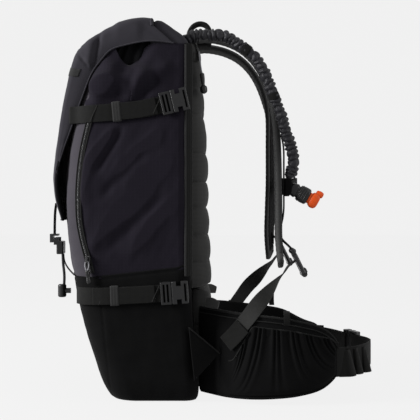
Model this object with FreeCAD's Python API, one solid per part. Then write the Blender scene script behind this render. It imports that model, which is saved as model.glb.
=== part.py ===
import FreeCAD, Part
import math
import os

# Avalanche airbag backpack, standing on its base. Millimetres, +X is the wearer's forward
# direction (the back pad side), +Y is the wearer's left, +Z is up. The origin is the middle
# of the base's flat face.

os.makedirs("parts", exist_ok=True)

# ---- driving dimensions ----
WALL = 3.0                  # thickness of a fabric panel with its lining
BOW = 12.0                  # how far the front panel bulges at its middle
FRONT_RADIUS = 38.0         # vertical front corners
REAR_RADIUS = 18.0          # vertical rear corners
BASE_TOP = 4.0
BOOT_TOP = 185.0
RIM_TOP = 505.0
COLLAR_TOP = 532.0
FRONT_SPLIT = -100.0        # the side zip's line, between the front and side panels
BOOT_SPLIT = -80.0          # vertical seam of the boot
GUSSET_SPLIT = 34.0         # where the rear gussets start
BACK_WALL_HALF = 108.0
DIVIDER_X = -12.0
COLLAR_WALL = 2.5
POD_HALF = 130.5            # half width of the airbag space's cover
HINGE_X, HINGE_Z = -5.0, 568.0
WEB_25 = 25.0               # narrow webbing
WEB_38 = 38.0               # hip belt webbing
WEB_THICK = 1.5
SIDE_WEB_Y = 150.4          # side straps' middle plane
BUCKLE_Y = 154.5            # side buckles' middle plane
CYLINDER_R = 26.0
CYLINDER_AT = (16.0, -52.0)
SLEEVE_R = 8.5
SLEEVE_BORE = 4.0
CABLE_R = 1.25
TRIGGER_TILT = 28.7         # degrees below horizontal
TRIGGER_AT = (206.0, -91.0, 314.0)
SHOULDER_THICK = 10.0

# height, middle of the front, rear, half width
BAG_RINGS = [
    (0.0, -62.0, 60.0, 116.0),
    (10.0, -80.0, 63.0, 129.0),
    (60.0, -101.0, 60.0, 138.0),
    (120.0, -118.5, 55.0, 143.0),
    (185.0, -131.0, 52.0, 147.0),
    (260.0, -142.0, 52.0, 148.0),
    (340.0, -142.0, 52.0, 148.0),
    (420.0, -130.0, 52.0, 146.0),
    (470.0, -120.0, 52.0, 138.0),
    (505.0, -110.0, 52.0, 129.0),
]


# ---- helpers ----
def vec(x, y, z):
    return FreeCAD.Vector(x, y, z)


def box(x0, x1, y0, y1, z0, z1):
    return Part.makeBox(x1 - x0, y1 - y0, z1 - z0, vec(x0, y0, z0))


def mirrored(shape):
    return shape.mirror(vec(0, 0, 0), vec(0, 1, 0))


def both_sides(shape):
    """The shape on the wearer's right and its mirror image on the left."""
    return Part.makeCompound([shape, mirrored(shape)])


def cylinder(start, along, radius, length):
    return Part.makeCylinder(radius, length, start, along)


def prism(outline, y0, y1):
    """An outline of (x, z) points, extruded from y0 to y1."""
    points = [vec(x, y0, z) for x, z in outline]
    face = Part.Face(Part.makePolygon(points + points[:1]))
    return face.extrude(vec(0, y1 - y0, 0))


def rounded_box(length, width, height, radius):
    """A box about the origin with all its edges rounded."""
    block = box(-length / 2, length / 2, -width / 2, width / 2, -height / 2, height / 2)
    return block.makeFillet(radius, block.Edges)


def loft(sections):
    return Part.makeLoft(sections, True, True)


def ribbon(points, across, widths, thickness):
    """A strap along the points: across gives its width's direction at each one."""
    sections = []
    count = len(points)
    for i, point in enumerate(points):
        along = points[min(i + 1, count - 1)] - points[max(i - 1, 0)]
        normal = along.cross(across[i]).normalize()
        side = normal.cross(along).normalize()
        half = side * (widths[i] / 2)
        out = normal * (thickness / 2)
        corners = [point - half - out, point + half - out, point + half + out, point - half + out]
        sections.append(Part.makePolygon(corners + corners[:1]))
    return loft(sections)


def upright_ribbon(plan, lows, highs, thickness):
    """A wing that stands on edge: plan is its path in x and y, with a low and high z each."""
    sections = []
    count = len(plan)
    for i, (x, y) in enumerate(plan):
        x0, y0 = plan[max(i - 1, 0)]
        x1, y1 = plan[min(i + 1, count - 1)]
        normal = vec(y1 - y0, x0 - x1, 0).normalize() * (thickness / 2)
        corners = [vec(x, y, lows[i]) - normal, vec(x, y, lows[i]) + normal,
                   vec(x, y, highs[i]) + normal, vec(x, y, highs[i]) - normal]
        sections.append(Part.makePolygon(corners + corners[:1]))
    return loft(sections)


def route_wire(points):
    """Straight runs joined by tangent arcs as large as the runs allow, and the radii."""
    edges = []
    radii = []
    start = points[0]
    for i in range(1, len(points) - 1):
        before = points[i] - points[i - 1]
        after = points[i + 1] - points[i]
        half_turn = before.getAngle(after) / 2
        cut = 0.45 * min(before.Length, after.Length)
        radii.append(cut / math.tan(half_turn))
        enter = points[i] - before.normalize() * cut
        leave = points[i] + after.normalize() * cut
        middle = (enter + leave) * 0.5
        inward = (middle - points[i]).normalize()
        centre = points[i] + inward * (radii[-1] / math.cos(half_turn))
        crown = centre - inward * radii[-1]
        edges.append(Part.LineSegment(start, enter).toShape())
        edges.append(Part.Arc(enter, crown, leave).toShape())
        start = leave
    edges.append(Part.LineSegment(start, points[-1]).toShape())
    return Part.Wire(edges), radii


def tube(points, radius):
    wire, radii = route_wire(points)
    along = points[1] - points[0]
    circle = Part.Wire(Part.makeCircle(radius, points[0], along))
    return wire.makePipeShell([circle], True, True), wire.Length, radii


def cord(name, points, radius):
    """A cord's own solid, with its volume and its tightest bend printed."""
    shape, length, radii = tube(points, radius)
    expected = math.pi * radius * radius * length
    print(name, "length", round(length, 1), "radii", [round(r, 1) for r in radii],
          "volume ratio", round(shape.Volume / expected, 4))
    return shape


def save(name, shape):
    solids = shape.Solids
    if not solids or not shape.isValid() or min(s.Volume for s in solids) <= 0:
        print("BAD", name, len(solids), shape.isValid())
    if len(solids) == 1:
        shape = solids[0]
    shape.exportStep("parts/" + name + ".step")


def group(shapes):
    return Part.makeCompound([solid for shape in shapes for solid in shape.Solids])


# ---- bag ----
def bag_ring(height, front, rear, half, inset):
    """A closed wire around the bag, moved inwards by inset."""
    s = math.sqrt(0.5)
    fr = FRONT_RADIUS - inset
    rr = REAR_RADIUS - inset
    crown = front + inset
    flank = crown + BOW
    back = rear - inset
    side = half - inset

    def point(x, y):
        return vec(x, y, height)

    front_left = point(flank, side - fr)
    left_start = point(flank + fr, side)
    left_end = point(back - rr, side)
    rear_left = point(back, side - rr)
    left_mid = point(flank + fr - fr * s, side - fr + fr * s)
    rear_mid = point(back - rr + rr * s, side - rr + rr * s)

    def flip(p):
        return vec(p.x, -p.y, p.z)

    edges = [
        Part.Arc(flip(front_left), point(crown, 0), front_left).toShape(),
        Part.Arc(front_left, left_mid, left_start).toShape(),
        Part.LineSegment(left_start, left_end).toShape(),
        Part.Arc(left_end, rear_mid, rear_left).toShape(),
        Part.LineSegment(rear_left, flip(rear_left)).toShape(),
        Part.Arc(flip(rear_left), flip(rear_mid), flip(left_end)).toShape(),
        Part.LineSegment(flip(left_end), flip(left_start)).toShape(),
        Part.Arc(flip(left_start), flip(left_mid), flip(front_left)).toShape(),
    ]
    return Part.Wire(edges)


def make_bag():
    outer = loft([bag_ring(*ring, 0.0) for ring in BAG_RINGS])
    inner = loft([bag_ring(*ring, WALL) for ring in BAG_RINGS])
    wall = outer.cut(inner)
    wide = 400.0
    above_base = box(-wide, wide, -wide, wide, BASE_TOP, RIM_TOP)
    wall = wall.common(above_base)
    save("base_panel", outer.common(box(-wide, wide, -wide, wide, 0, BASE_TOP)))

    boot = wall.common(box(-wide, GUSSET_SPLIT, -wide, wide, 0, BOOT_TOP))
    front_cut = box(-wide, BOOT_SPLIT, -wide, wide, 0, RIM_TOP).fuse(box(-wide, 0, -86, 86, 0, RIM_TOP))
    save("boot", group([boot.common(front_cut), boot.cut(front_cut)]))

    high = wall.common(box(-wide, GUSSET_SPLIT, -wide, wide, BOOT_TOP, RIM_TOP))
    front_cut = box(-wide, FRONT_SPLIT, -wide, wide, 0, RIM_TOP)
    save("front_panel", high.common(front_cut))
    save("side_panels", group([high.cut(front_cut)]))

    rear = wall.common(box(GUSSET_SPLIT, wide, -wide, wide, 0, RIM_TOP))
    middle = box(0, wide, -BACK_WALL_HALF, BACK_WALL_HALF, 0, RIM_TOP)
    save("back_wall", rear.common(middle))
    save("rear_gussets", group([rear.cut(middle)]))

    slab = box(DIVIDER_X, DIVIDER_X + 2.0, -wide, wide, BASE_TOP, RIM_TOP)
    save("compartment_divider", inner.common(slab))

    low = BAG_RINGS[-1]
    high = (COLLAR_TOP, -98.0, 52.0, 122.0)
    low_outer, high_outer = [bag_ring(*ring, WALL) for ring in (low, high)]
    low_inner, high_inner = [bag_ring(*ring, WALL + COLLAR_WALL) for ring in (low, high)]
    collar = loft([low_outer, high_outer]).cut(loft([low_inner, high_inner]))
    save("collar", collar.common(box(-wide, DIVIDER_X - 1.5, -wide, wide, 0, wide * 2)))
    return outer


def make_airbag_cover():
    """The closed space at the top of the back, with the way out for the trigger sleeve."""
    outline = [(-12, 505), (-8.5, 545), (-2.5, 567), (8.2, 566), (20, 558), (40, 544),
               (52, 525), (52, 505)]
    inner = [(-8.8, 508), (-5.5, 544.5), (-0.3, 563.8), (7.2, 562.8), (18.6, 555.2),
             (37.9, 541.6), (49, 524), (49, 508)]
    cover = prism(outline, -POD_HALF, POD_HALF)
    cover = cover.cut(prism(inner, -POD_HALF + WALL, POD_HALF - WALL))
    cover = cover.cut(box(-8, 49, -POD_HALF + 6, POD_HALF - 6, 504, 509))
    first, second = sleeve_route()[:2]
    hole = cylinder(first - (second - first) * 1.0, second - first, SLEEVE_R + 0.3, 60)
    return cover.cut(hole)


# ---- frame ----
def make_frame():
    rivet_radius = 2.4
    rivets = []
    for y in (-50.0, 50.0):
        for z in (60.0, 260.0, 460.0):
            shank = cylinder(vec(43.6, y, z), vec(1, 0, 0), rivet_radius, 4.9)
            head = cylinder(vec(42.6, y, z), vec(1, 0, 0), 4.5, 1.6)
            rivets.append(shank.fuse(head))
    outline = [(-95, 20), (95, 20), (108, 60), (108, 440), (80, 500), (-80, 500), (-108, 440), (-108, 60)]
    points = [vec(44.2, y, z) for y, z in outline]
    sheet = Part.Face(Part.makePolygon(points + points[:1])).extrude(vec(1.6, 0, 0))
    stays = [box(45.8, 48.5, y - 6.5, y + 6.5, 24, 496) for y in (-50.0, 50.0)]
    for rivet in rivets:
        sheet = sheet.cut(rivet)
        stays = [stay.cut(rivet) for stay in stays]
    save("frame_sheet", sheet)
    save("frame_stays", group(stays))
    save("stay_rivets", group(rivets))


def make_back_pad():
    """A quilted pad: a tapering profile with a shallow bulge between each pair of tufts."""
    notches = [(67.5, 426), (72.5, 368), (73.5, 325), (73.5, 286), (75.5, 244), (77.5, 204), (78.5, 165)]
    bulge = 4.5
    edges = []
    corner = [vec(53.6, -105, 158), vec(52.2, -105, 186), vec(52.2, -105, 535), vec(58, -105, 535), vec(64.5, -105, 505)]
    for a, b in zip(corner, corner[1:]):
        edges.append(Part.LineSegment(a, b).toShape())
    previous = corner[-1]
    for x, z in notches:
        end = vec(x, -105, z)
        middle = (previous + end) * 0.5 + vec(bulge, 0, 0)
        edges.append(Part.Arc(previous, middle, end).toShape())
        previous = end
    edges.append(Part.LineSegment(previous, vec(76, -105, 158)).toShape())
    edges.append(Part.LineSegment(vec(76, -105, 158), corner[0]).toShape())
    pad = Part.Face(Part.Wire(edges)).extrude(vec(0, 210, 0))
    return pad.cut(box(45, 70, -106, -92, 530.5, 540))      # room for the trigger sleeve


def make_yoke():
    bar = box(50, 62.4, -90, 90, 535, 553)
    tongue = box(62, 84, -27, 27, 539, 551)
    return bar.fuse(tongue).removeSplitter()


def make_haul_loop():
    path = [(45, 540), (47, 556), (50.5, 568), (57, 575.5), (66, 578.5), (75, 576), (81, 568), (82, 558), (81.6, 551.3)]
    points = [vec(x, 0, z) for x, z in path]
    return ribbon(points, [vec(0, 1, 0)] * len(points), [22.0] * len(points), 6.0)


# ---- harness ----
def strap_path():
    """Middle line of the right shoulder strap, with its width at each point."""
    return [
        (63, -58, 545.5, 56), (75, -58, 546.5, 56), (92, -58, 544.5, 56), (110, -58.5, 539.5, 56),
        (128, -59, 530.5, 56), (144, -60, 517, 56), (158, -61, 498, 56), (167.5, -62, 478, 57),
        (174, -62, 458, 54), (178.5, -62.5, 438, 54), (181.5, -64, 418, 54), (183.5, -67, 388, 54),
        (184.5, -77, 326, 56), (184, -89, 281, 56), (183.5, -101, 242, 50), (184.5, -109, 222, 44),
        (186, -117, 203, 38),
    ]


def make_shoulder_strap():
    rows = strap_path()
    points = [vec(x, y, z) for x, y, z, width in rows]
    widths = [row[3] for row in rows]
    return ribbon(points, [vec(0, 1, 0)] * len(points), widths, SHOULDER_THICK)


WING_PLAN = [(75, -87.5), (88, -108), (110, -127), (140, -141), (175, -148), (210, -147.5), (245, -138), (268, -124)]
WING_LOW = [10, 9, 8, 8, 10, 14, 24, 42]
WING_HIGH = [137, 136, 134, 131, 128, 122, 110, 88]


def make_lumbar_pad():
    outline = [(63.4, 12), (60.6, 60), (55.6, 120), (53.8, 157), (80, 157), (84, 120), (84, 30), (80, 12)]
    return prism(outline, -84, 84)


def make_belt_webbing():
    """Right belt webbing around the front to the buckle, and the short one on the left."""
    level = 60.0
    high = WEB_38 / 2
    right = [(269, -123.2), (292, -108), (314, -82), (328, -52), (333, -30), (332.2, -18), (312.5, 34)]
    left = [(305.4, 48), (300.4, 61), (292.5, 82), (281.5, 104), (269, 123.2)]
    shapes = []
    for plan in (right, left):
        count = len(plan)
        shapes.append(upright_ribbon(plan, [level - high] * count, [level + high] * count, WEB_THICK))
    return group(shapes)


def make_lower_webbing():
    """From the patch on the hip wing up to the ladder lock, turning a quarter on its way."""
    wing_face = vec(0.423, 0.906, 0)
    path = [(114, -138.0, 98), (126, -143.6, 114), (138, -149.0, 130), (150, -147.5, 146), (163, -140.5, 160),
            (177, -131, 175), (189.5, -122, 189), (199.5, -117, 203)]
    twist = [0, 0, 2, 18, 42, 65, 85, 90]
    points = [vec(*p) for p in path]
    across = []
    for i, angle in enumerate(twist):
        along = (points[min(i + 1, 7)] - points[max(i - 1, 0)]).normalize()
        flat = wing_face.cross(along).normalize()
        turn = math.radians(angle)
        across.append(flat * math.cos(turn) + vec(0, 1, 0) * math.sin(turn))
    return ribbon(points, across, [WEB_25] * 8, WEB_THICK)


LOCK_PIVOT = (203.0, 222.0)     # x and z of the ladder lock's upper bar
LOCK_Y = -117.0


def make_ladder_lock():
    """A frame of three bars that tilts about its upper bar, with a lifting tab below."""
    frame = box(-3, 3, -16, 16, -38, 4)
    frame = frame.makeFillet(1.8, frame.Edges)
    for low, high in ((-8, -4.4), (-16, -12.4)):
        frame = frame.cut(box(-5, 5, -12.8, 12.8, low, high))
    tab = box(0, 6, -8, 8, -38, -30)
    tab = tab.makeFillet(2.0, tab.Edges)
    lock = frame.fuse(tab).removeSplitter()
    lock.rotate(vec(0, 0, 0), vec(0, 1, 0), -27)
    lock.translate(vec(LOCK_PIVOT[0], LOCK_Y, LOCK_PIVOT[1]))
    return lock


# ---- sternum strap ----
RAIL_X = 194.5
RAIL_Y = -68.0
STERNUM_Z = 318.0
STERNUM_X = 213.0


def make_rail():
    path = [(190, 397), (193, 386), (RAIL_X, 372), (RAIL_X - 0.1, 328), (RAIL_X, 284), (193.2, 271), (190.9, 261)]
    points = [vec(x, RAIL_Y, z) for x, z in path]
    return cord("sternum_rail", points, 1.4)


def make_sternum_slider():
    block = rounded_box(11.0, 15.0, 26.0, 2.0)
    block.translate(vec(RAIL_X + 1.2, RAIL_Y, STERNUM_Z))
    hole = cylinder(vec(RAIL_X, RAIL_Y, STERNUM_Z - 30), vec(0, 0, 1), 2.1, 60)
    return block.cut(hole)


def make_sternum_webbing():
    plan = [(202.4, -66), (206, -58), (210.5, -50), (STERNUM_X, -43), (STERNUM_X, -2)]
    lows = [STERNUM_Z - 10] * len(plan)
    highs = [STERNUM_Z + 10] * len(plan)
    right = upright_ribbon(plan, lows, highs, WEB_THICK)
    plan = plan[:-1] + [(STERNUM_X, -26)]
    left = mirrored(upright_ribbon(plan, lows[:5], highs[:5], WEB_THICK))
    return group([right, left])


# ---- side release buckles ----
def buckle_plug(web, thick):
    """Plug of a side release buckle: it enters the socket along +X, webbing width along Z."""
    half = web / 2 + 4
    body = box(-16, 0, -thick / 2, thick / 2, -half, half)
    body = body.makeFillet(1.2, body.Edges)
    body = body.cut(box(-12.5, -9.5, -thick, thick, -web / 2 - 0.5, web / 2 + 0.5))
    body = body.cut(box(-7.0, -4.0, -thick, thick, -web / 2 - 0.5, web / 2 + 0.5))
    arm = thick * 0.3
    guide = box(-1, 11, -arm, arm, -2, 2)
    plug = body.fuse(guide)
    for sign in (-1, 1):
        z0 = sign * (web / 2 - 6)
        z1 = sign * (web / 2 - 2.5)
        prong = box(-1, 13, -arm, arm, min(z0, z1), max(z0, z1))
        plug = plug.fuse(prong)
    return plug.removeSplitter()


def buckle_socket(web, thick):
    """Socket of a side release buckle, open at x = 0, with a window on each side."""
    half = web / 2 + 4
    body = box(0.4, 24, -thick / 2, thick / 2, -half, half)
    body = body.makeFillet(1.5, body.Edges)
    room = thick / 2 - 1.4
    body = body.cut(box(-1, 16, -room, room, -web / 2 - 0.2, web / 2 + 0.2))
    for sign in (-1, 1):
        z0 = sign * (web / 2 - 3)
        z1 = sign * (half + 2)
        body = body.cut(box(7, 14, -thick, thick, min(z0, z1), max(z0, z1)))
    body = body.cut(box(18.5, 21.3, -thick, thick, -web / 2 - 0.3, web / 2 + 0.3))
    return body.removeSplitter()


def placed(shape, x, y, z, tilt, turn=0.0):
    """Tilt raises +X by that many degrees, then turn swings it about the vertical."""
    moved = shape.copy()
    moved.rotate(vec(0, 0, 0), vec(0, 1, 0), -tilt)
    moved.rotate(vec(0, 0, 0), vec(0, 0, 1), turn)
    moved.translate(vec(x, y, z))
    return moved


UPPER_BUCKLE = (25.0, 439.6, 13.4)      # x, z and tilt of the mating plane
LOWER_BUCKLE = (25.0, 163.4, 4.0)
BELT_BUCKLE = (317.2, 37.4, 60.0, 110.8)    # x, y, z and turn of the mating plane


def strap(path):
    points = [vec(*p) for p in path]
    up = vec(0, 0, 1)
    return ribbon(points, [up] * len(points), [WEB_25] * len(points), WEB_THICK)


def upper_strap():
    return strap([(-126, -130.9, 422), (-116, -134.6, 422), (-104, -143.2, 422.5), (-90, -148.9, 423.2),
                  (-72, -SIDE_WEB_Y, 424.3), (-40, -SIDE_WEB_Y, 427), (-14, -SIDE_WEB_Y, 430.3),
                  (22, -SIDE_WEB_Y, 438.9)])


def lower_strap():
    return strap([(-116, -118.6, 157), (-108, -134.2, 157.3), (-95, -144.4, 157.6), (-78, -148.8, 158),
                  (-50, -149.8, 159), (-20, -150.2, 160.3), (22, -SIDE_WEB_Y, 163.2)])


def keeper(x, y, z, tilt):
    """An elastic loop around a side strap."""
    loop = box(-6, 6, -2.4, 2.4, -15, 15).cut(box(-7, 7, -1.3, 1.3, -13.2, 13.2))
    return placed(loop, x, y, z, tilt)


def anchor_web(x, z, tilt):
    """The short webbing that holds a socket to the rear gusset."""
    outline = [(18.8, 2), (20.6, 2), (20.6, -5.2), (25.2, -18), (23.6, -19), (18.8, -6.6)]
    points = [vec(px, py, -12) for px, py in outline]
    tail = Part.Face(Part.makePolygon(points + points[:1])).extrude(vec(0, 0, 24))
    return placed(tail, x, BUCKLE_Y, z, tilt)


# ---- sleeve, trigger and gas system ----
def sleeve_route():
    path = [(40.0, -103, 531.5), (50.5, -103, 541.5), (65, -103, 545.5), (82, -103, 543.8), (98, -103, 544.6),
            (113, -103, 538.5), (125, -103, 529.5), (135, -103, 522.5), (146, -103, 514.5), (155, -103, 503),
            (163.5, -103, 487), (172.5, -103, 463), (181, -103, 441.5), (189, -103, 422), (193.5, -102.5, 401),
            (202.5, -99.5, 379), (207, -96.5, 361), (205.5, -93.5, 346), (201.5, -91.5, 333)]
    return [vec(*p) for p in path]


def cable_route():
    """From the valve lever up through the cover, then along the middle of the sleeve."""
    inside = [vec(20.8, -97, 368), vec(21.5, -97.5, 400), vec(24, -99, 440), vec(27, -101, 475), vec(31.5, -102.5, 508)]
    return inside + sleeve_route()


def make_sleeve():
    outer = cord("hose_sleeve", sleeve_route(), SLEEVE_R)
    bore, length, radii = tube(sleeve_route(), SLEEVE_BORE)
    return outer.cut(bore)


def sleeve_keeper(x, y, z, tilt, length):
    """A webbing loop around the sleeve, stitched down at the shoulder strap's edge."""
    ring = cylinder(vec(-length / 2, 0, 0), vec(1, 0, 0), SLEEVE_R + 1.6, length)
    ring = ring.cut(cylinder(vec(-length, 0, 0), vec(1, 0, 0), SLEEVE_R + 0.5, 2 * length))
    return placed(ring, x, y, z, tilt)


def tilted(shape, along):
    """Placed on the trigger's axis, so far from the holder's rear face."""
    moved = shape.copy()
    moved.translate(vec(along, 0, 0))
    moved.rotate(vec(0, 0, 0), vec(0, 1, 0), TRIGGER_TILT)
    moved.translate(vec(*TRIGGER_AT))
    return moved


def make_trigger():
    holder = box(0, 26, -8, 8, -12.5, 12.5)
    holder = holder.makeFillet(2.5, holder.Edges)
    holder = holder.cut(cylinder(vec(-1, 0, 0), vec(1, 0, 0), 4.3, 30))
    save("trigger_holder", tilted(holder, 0))
    grip = box(26.6, 43, -8, 8, -10.5, 10.5)
    grip = grip.makeFillet(3.0, grip.Edges)
    tab = box(34, 45, -4, 4, 8, 15)
    tab = tab.makeFillet(1.5, tab.Edges)
    stem = cylinder(vec(1.0, 0, 0), vec(1, 0, 0), 4.0, 30)
    save("trigger_handle", tilted(grip.fuse(tab).fuse(stem).removeSplitter(), 0))
    collar = box(193, 204.5, -99, -83, 303, 330.2)
    collar = collar.makeFillet(2.5, collar.Edges)
    collar = collar.cut(cylinder(vec(201.5, -91.5, 325), vec(0, 0, 1), 3.2, 12))
    holder_room = tilted(box(-0.2, 40, -10, 10, -14, 14), 0)
    save("sleeve_collar", collar.cut(holder_room))


def make_gas_system():
    x, y = CYLINDER_AT
    body = cylinder(vec(x, y, 150), vec(0, 0, 1), CYLINDER_R, 196)
    body = body.makeFillet(9.0, [e for e in body.Edges if e.Length > 60 and len(e.Vertexes) == 1])
    neck = cylinder(vec(x, y, 345), vec(0, 0, 1), 9.0, 16)
    save("gas_cylinder", body.fuse(neck).removeSplitter())

    straps = []
    for z in (190.0, 300.0):
        ring = cylinder(vec(x, y, z), vec(0, 0, 1), CYLINDER_R + 1.7, 22)
        ring = ring.cut(cylinder(vec(x, y, z - 1), vec(0, 0, 1), CYLINDER_R + 0.1, 24))
        straps.append(ring.common(box(DIVIDER_X + 2, 44.2, -200, 200, 0, 500)))
    save("cylinder_straps", group(straps))

    head = cylinder(vec(x, y, 352), vec(0, 0, 1), 17.0, 38)
    head = head.cut(cylinder(vec(x, y, 350), vec(0, 0, 1), 9.05, 12))
    head = head.fuse(box(x - 7, x + 7, y - 34, y - 10, 364, 386))
    head = head.cut(box(x - 4, x + 4, y - 40, y - 20, 360, 390))
    head = head.cut(cylinder(vec(x, y - 21, 375), vec(0, 1, 0), 2.6, 14))
    head = head.cut(cylinder(vec(x - 10, y - 28, 375), vec(1, 0, 0), 2.1, 20))
    port = cylinder(vec(x, y + 15, 375), vec(0, 1, 0), 7.0, 9)
    save("valve_head", head.fuse(port).removeSplitter())

    pin = cylinder(vec(x, y - 20.5, 375), vec(0, 1, 0), 2.55, 11)
    save("firing_pin", pin)
    lever = cylinder(vec(x - 3.4, y - 28, 375), vec(1, 0, 0), 6.0, 6.8)
    lever = lever.fuse(box(x - 3.4, x + 3.4, y - 50, y - 28, 372, 378))
    axle = cylinder(vec(x - 9, y - 28, 375), vec(1, 0, 0), 2.05, 18)
    save("valve_lever", lever.fuse(axle).removeSplitter())

    nozzle = cylinder(vec(20, 10, 425), vec(0, 1, 0), 22.0, 70)
    nozzle = nozzle.cut(cylinder(vec(20, 18, 425), vec(0, 1, 0), 18.5, 70))
    nozzle = nozzle.fuse(cylinder(vec(20, 0, 425), vec(0, 1, 0), 7.0, 12))
    save("inflator", nozzle)
    hose = [vec(x, y + 24, 375), vec(x, -15, 375), vec(18, -10, 389), vec(19.5, -19, 402), vec(20, -24, 415),
            vec(20, -15, 425), vec(20, 0, 425)]
    save("gas_hose", cord("gas_hose", hose, 3.5))


def make_folded_airbag():
    block = prism([(-4, 452), (-2, 542), (4, 556), (16, 549), (36, 536), (40, 520), (40, 452)], -70, 122)
    return block


# ---- lid ----
# along the middle: x, z, bow across the width, corner radius, half width, depth of the sides
LID_STATIONS = [
    (-5.0, 568.0, 0.6, 8.0, 134.0, 36.0),
    (-53.0, 562.5, 4.0, 10.0, 134.5, 44.0),
    (-84.0, 550.0, 5.0, 12.0, 134.5, 50.0),
    (-112.0, 530.0, 6.0, 12.0, 134.0, 50.0),
    (-126.0, 512.0, 7.0, 12.0, 133.0, 44.0),
    (-134.0, 491.0, 8.0, 10.0, 132.0, 38.0),
    (-143.0, 454.0, 9.0, 8.0, 130.0, 32.0),
    (-152.0, 402.0, 10.0, 7.0, 128.0, 28.0),
    (-159.0, 360.0, 11.0, 6.0, 125.0, 21.0),
    (-162.5, 324.0, 12.0, 5.0, 121.0, 18.5),
    (-159.0, 297.0, 11.5, 5.0, 114.0, 17.5),
    (-151.0, 266.0, 9.5, 4.0, 100.0, 15.0),
]
LID_THICK = 3.0


def lid_section(index):
    """A closed wire across the lid: a bowed top with rounded shoulders and turned-down sides."""
    x, z, bow, radius, half, depth = LID_STATIONS[index]
    last = len(LID_STATIONS) - 1
    x0, z0 = LID_STATIONS[max(index - 1, 0)][:2]
    x1, z1 = LID_STATIONS[min(index + 1, last)][:2]
    along = vec(x1 - x0, 0, z1 - z0).normalize()
    inward = vec(-along.z, 0, along.x)
    s = math.sqrt(0.5)

    def at(y, deep):
        return vec(x, y, z) + inward * deep

    def corner(sign, r):
        centre_y = half - radius
        centre_deep = bow + radius
        return at(sign * (centre_y + r * s), centre_deep - r * s)

    t = LID_THICK
    shoulder = half - radius
    edges = [
        Part.LineSegment(at(-half, depth), at(-half, bow + radius)),
        Part.Arc(at(-half, bow + radius), corner(-1, radius), at(-shoulder, bow)),
        Part.Arc(at(-shoulder, bow), at(0, 0), at(shoulder, bow)),
        Part.Arc(at(shoulder, bow), corner(1, radius), at(half, bow + radius)),
        Part.LineSegment(at(half, bow + radius), at(half, depth)),
        Part.LineSegment(at(half, depth), at(half - t, depth)),
        Part.LineSegment(at(half - t, depth), at(half - t, bow + radius)),
        Part.Arc(at(half - t, bow + radius), corner(1, radius - t), at(shoulder, bow + t)),
        Part.Arc(at(shoulder, bow + t), at(0, t), at(-shoulder, bow + t)),
        Part.Arc(at(-shoulder, bow + t), corner(-1, radius - t), at(-half + t, bow + radius)),
        Part.LineSegment(at(-half + t, bow + radius), at(-half + t, depth)),
        Part.LineSegment(at(-half + t, depth), at(-half, depth)),
    ]
    return Part.Wire([e.toShape() for e in edges])


def make_lid():
    return loft([lid_section(i) for i in range(len(LID_STATIONS))])


def closure_strip():
    points = [vec(-163.8, 0, 292), vec(-165.5, 0, 280), vec(-166.3, 0, 262), vec(-166.5, 0, 243)]
    return ribbon(points, [vec(0, 1, 0)] * 4, [18.0] * 4, 2.0)


def make_hook():
    """A flat hook that hangs from the strip, with its mouth towards the bag."""
    plate = prism([(-173, 243), (-160, 243), (-160, 240), (-168, 240), (-168, 232), (-162.5, 232),
                   (-162.5, 229.5), (-173, 229.5)], -9, 9)
    return plate


def make_adjuster():
    """A bar for the hook above a moulded body that grips the two cords."""
    bar = cylinder(vec(-164.6, -14, 236), vec(0, 1, 0), 1.6, 28)
    body = box(-162, -151, -14, 14, 211, 231.5)
    body = body.makeFillet(2.0, body.Edges)
    arms = [box(-166, -158, y, y + 3, 226, 237.5) for y in (-14, 11)]
    shape = body.fuse(bar)
    for arm in arms:
        shape = shape.fuse(arm)
    return shape.removeSplitter()


# ---- zips and cords ----
def ring_at(height):
    """Front middle, rear and half width of the bag at a height."""
    for low, high in zip(BAG_RINGS, BAG_RINGS[1:]):
        if low[0] <= height <= high[0]:
            share = (height - low[0]) / (high[0] - low[0])
            return [a + share * (b - a) for a, b in zip(low[1:], high[1:])]
    return list(BAG_RINGS[-1][1:])


def corner_point(height, angle, out):
    """A point off the right front corner, angle degrees round from the side, out of its face."""
    front, rear, half = ring_at(height)
    turn = math.radians(angle)
    reach = FRONT_RADIUS + out
    x = front + BOW + FRONT_RADIUS - reach * math.sin(turn)
    y = -(half - FRONT_RADIUS) - reach * math.cos(turn)
    return vec(x, y, height)


def make_zip_tapes():
    """The side zip's tape round the front corner, and the short back zip beside the yoke."""
    path = [(411, 21), (380, 24), (345, 26), (297, 27), (262, 26), (243, 23), (204, 16)]
    points = [corner_point(z, angle, 0.75) for z, angle in path]
    across = [vec(math.cos(math.radians(a)), -math.sin(math.radians(a)), 0) for z, a in path]
    side = ribbon(points, across, [7.0] * len(path), 0.8)
    back = prism([(58.4, 534), (59.4, 534), (65.9, 505), (64.9, 505)], -104, -95)
    return group([side, back])


ZIP_Z = 211.0
ZIP_ANGLE = 17.0


def on_zip(shape):
    """From the slider's own frame, outwards along -Y, to its place on the side zip."""
    moved = shape.copy()
    moved.rotate(vec(0, 0, 0), vec(0, 0, 1), -ZIP_ANGLE)
    moved.translate(corner_point(ZIP_Z, ZIP_ANGLE, 1.9))
    return moved


PULL_OUT = 4.7      # from the slider's back face to the puller's pin
PULL_DOWN = 1.5


def make_zip_slider():
    body = box(-4, 4, -3.2, 0, -6, 6)
    body = body.makeFillet(1.2, body.Edges)
    bridge = box(-1.5, 1.5, -6.8, -2.5, -4.5, 4)
    bridge = bridge.cut(cylinder(vec(-3, -PULL_OUT, -PULL_DOWN), vec(1, 0, 0), 1.1, 8))
    return on_zip(body.fuse(bridge).removeSplitter())


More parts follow.
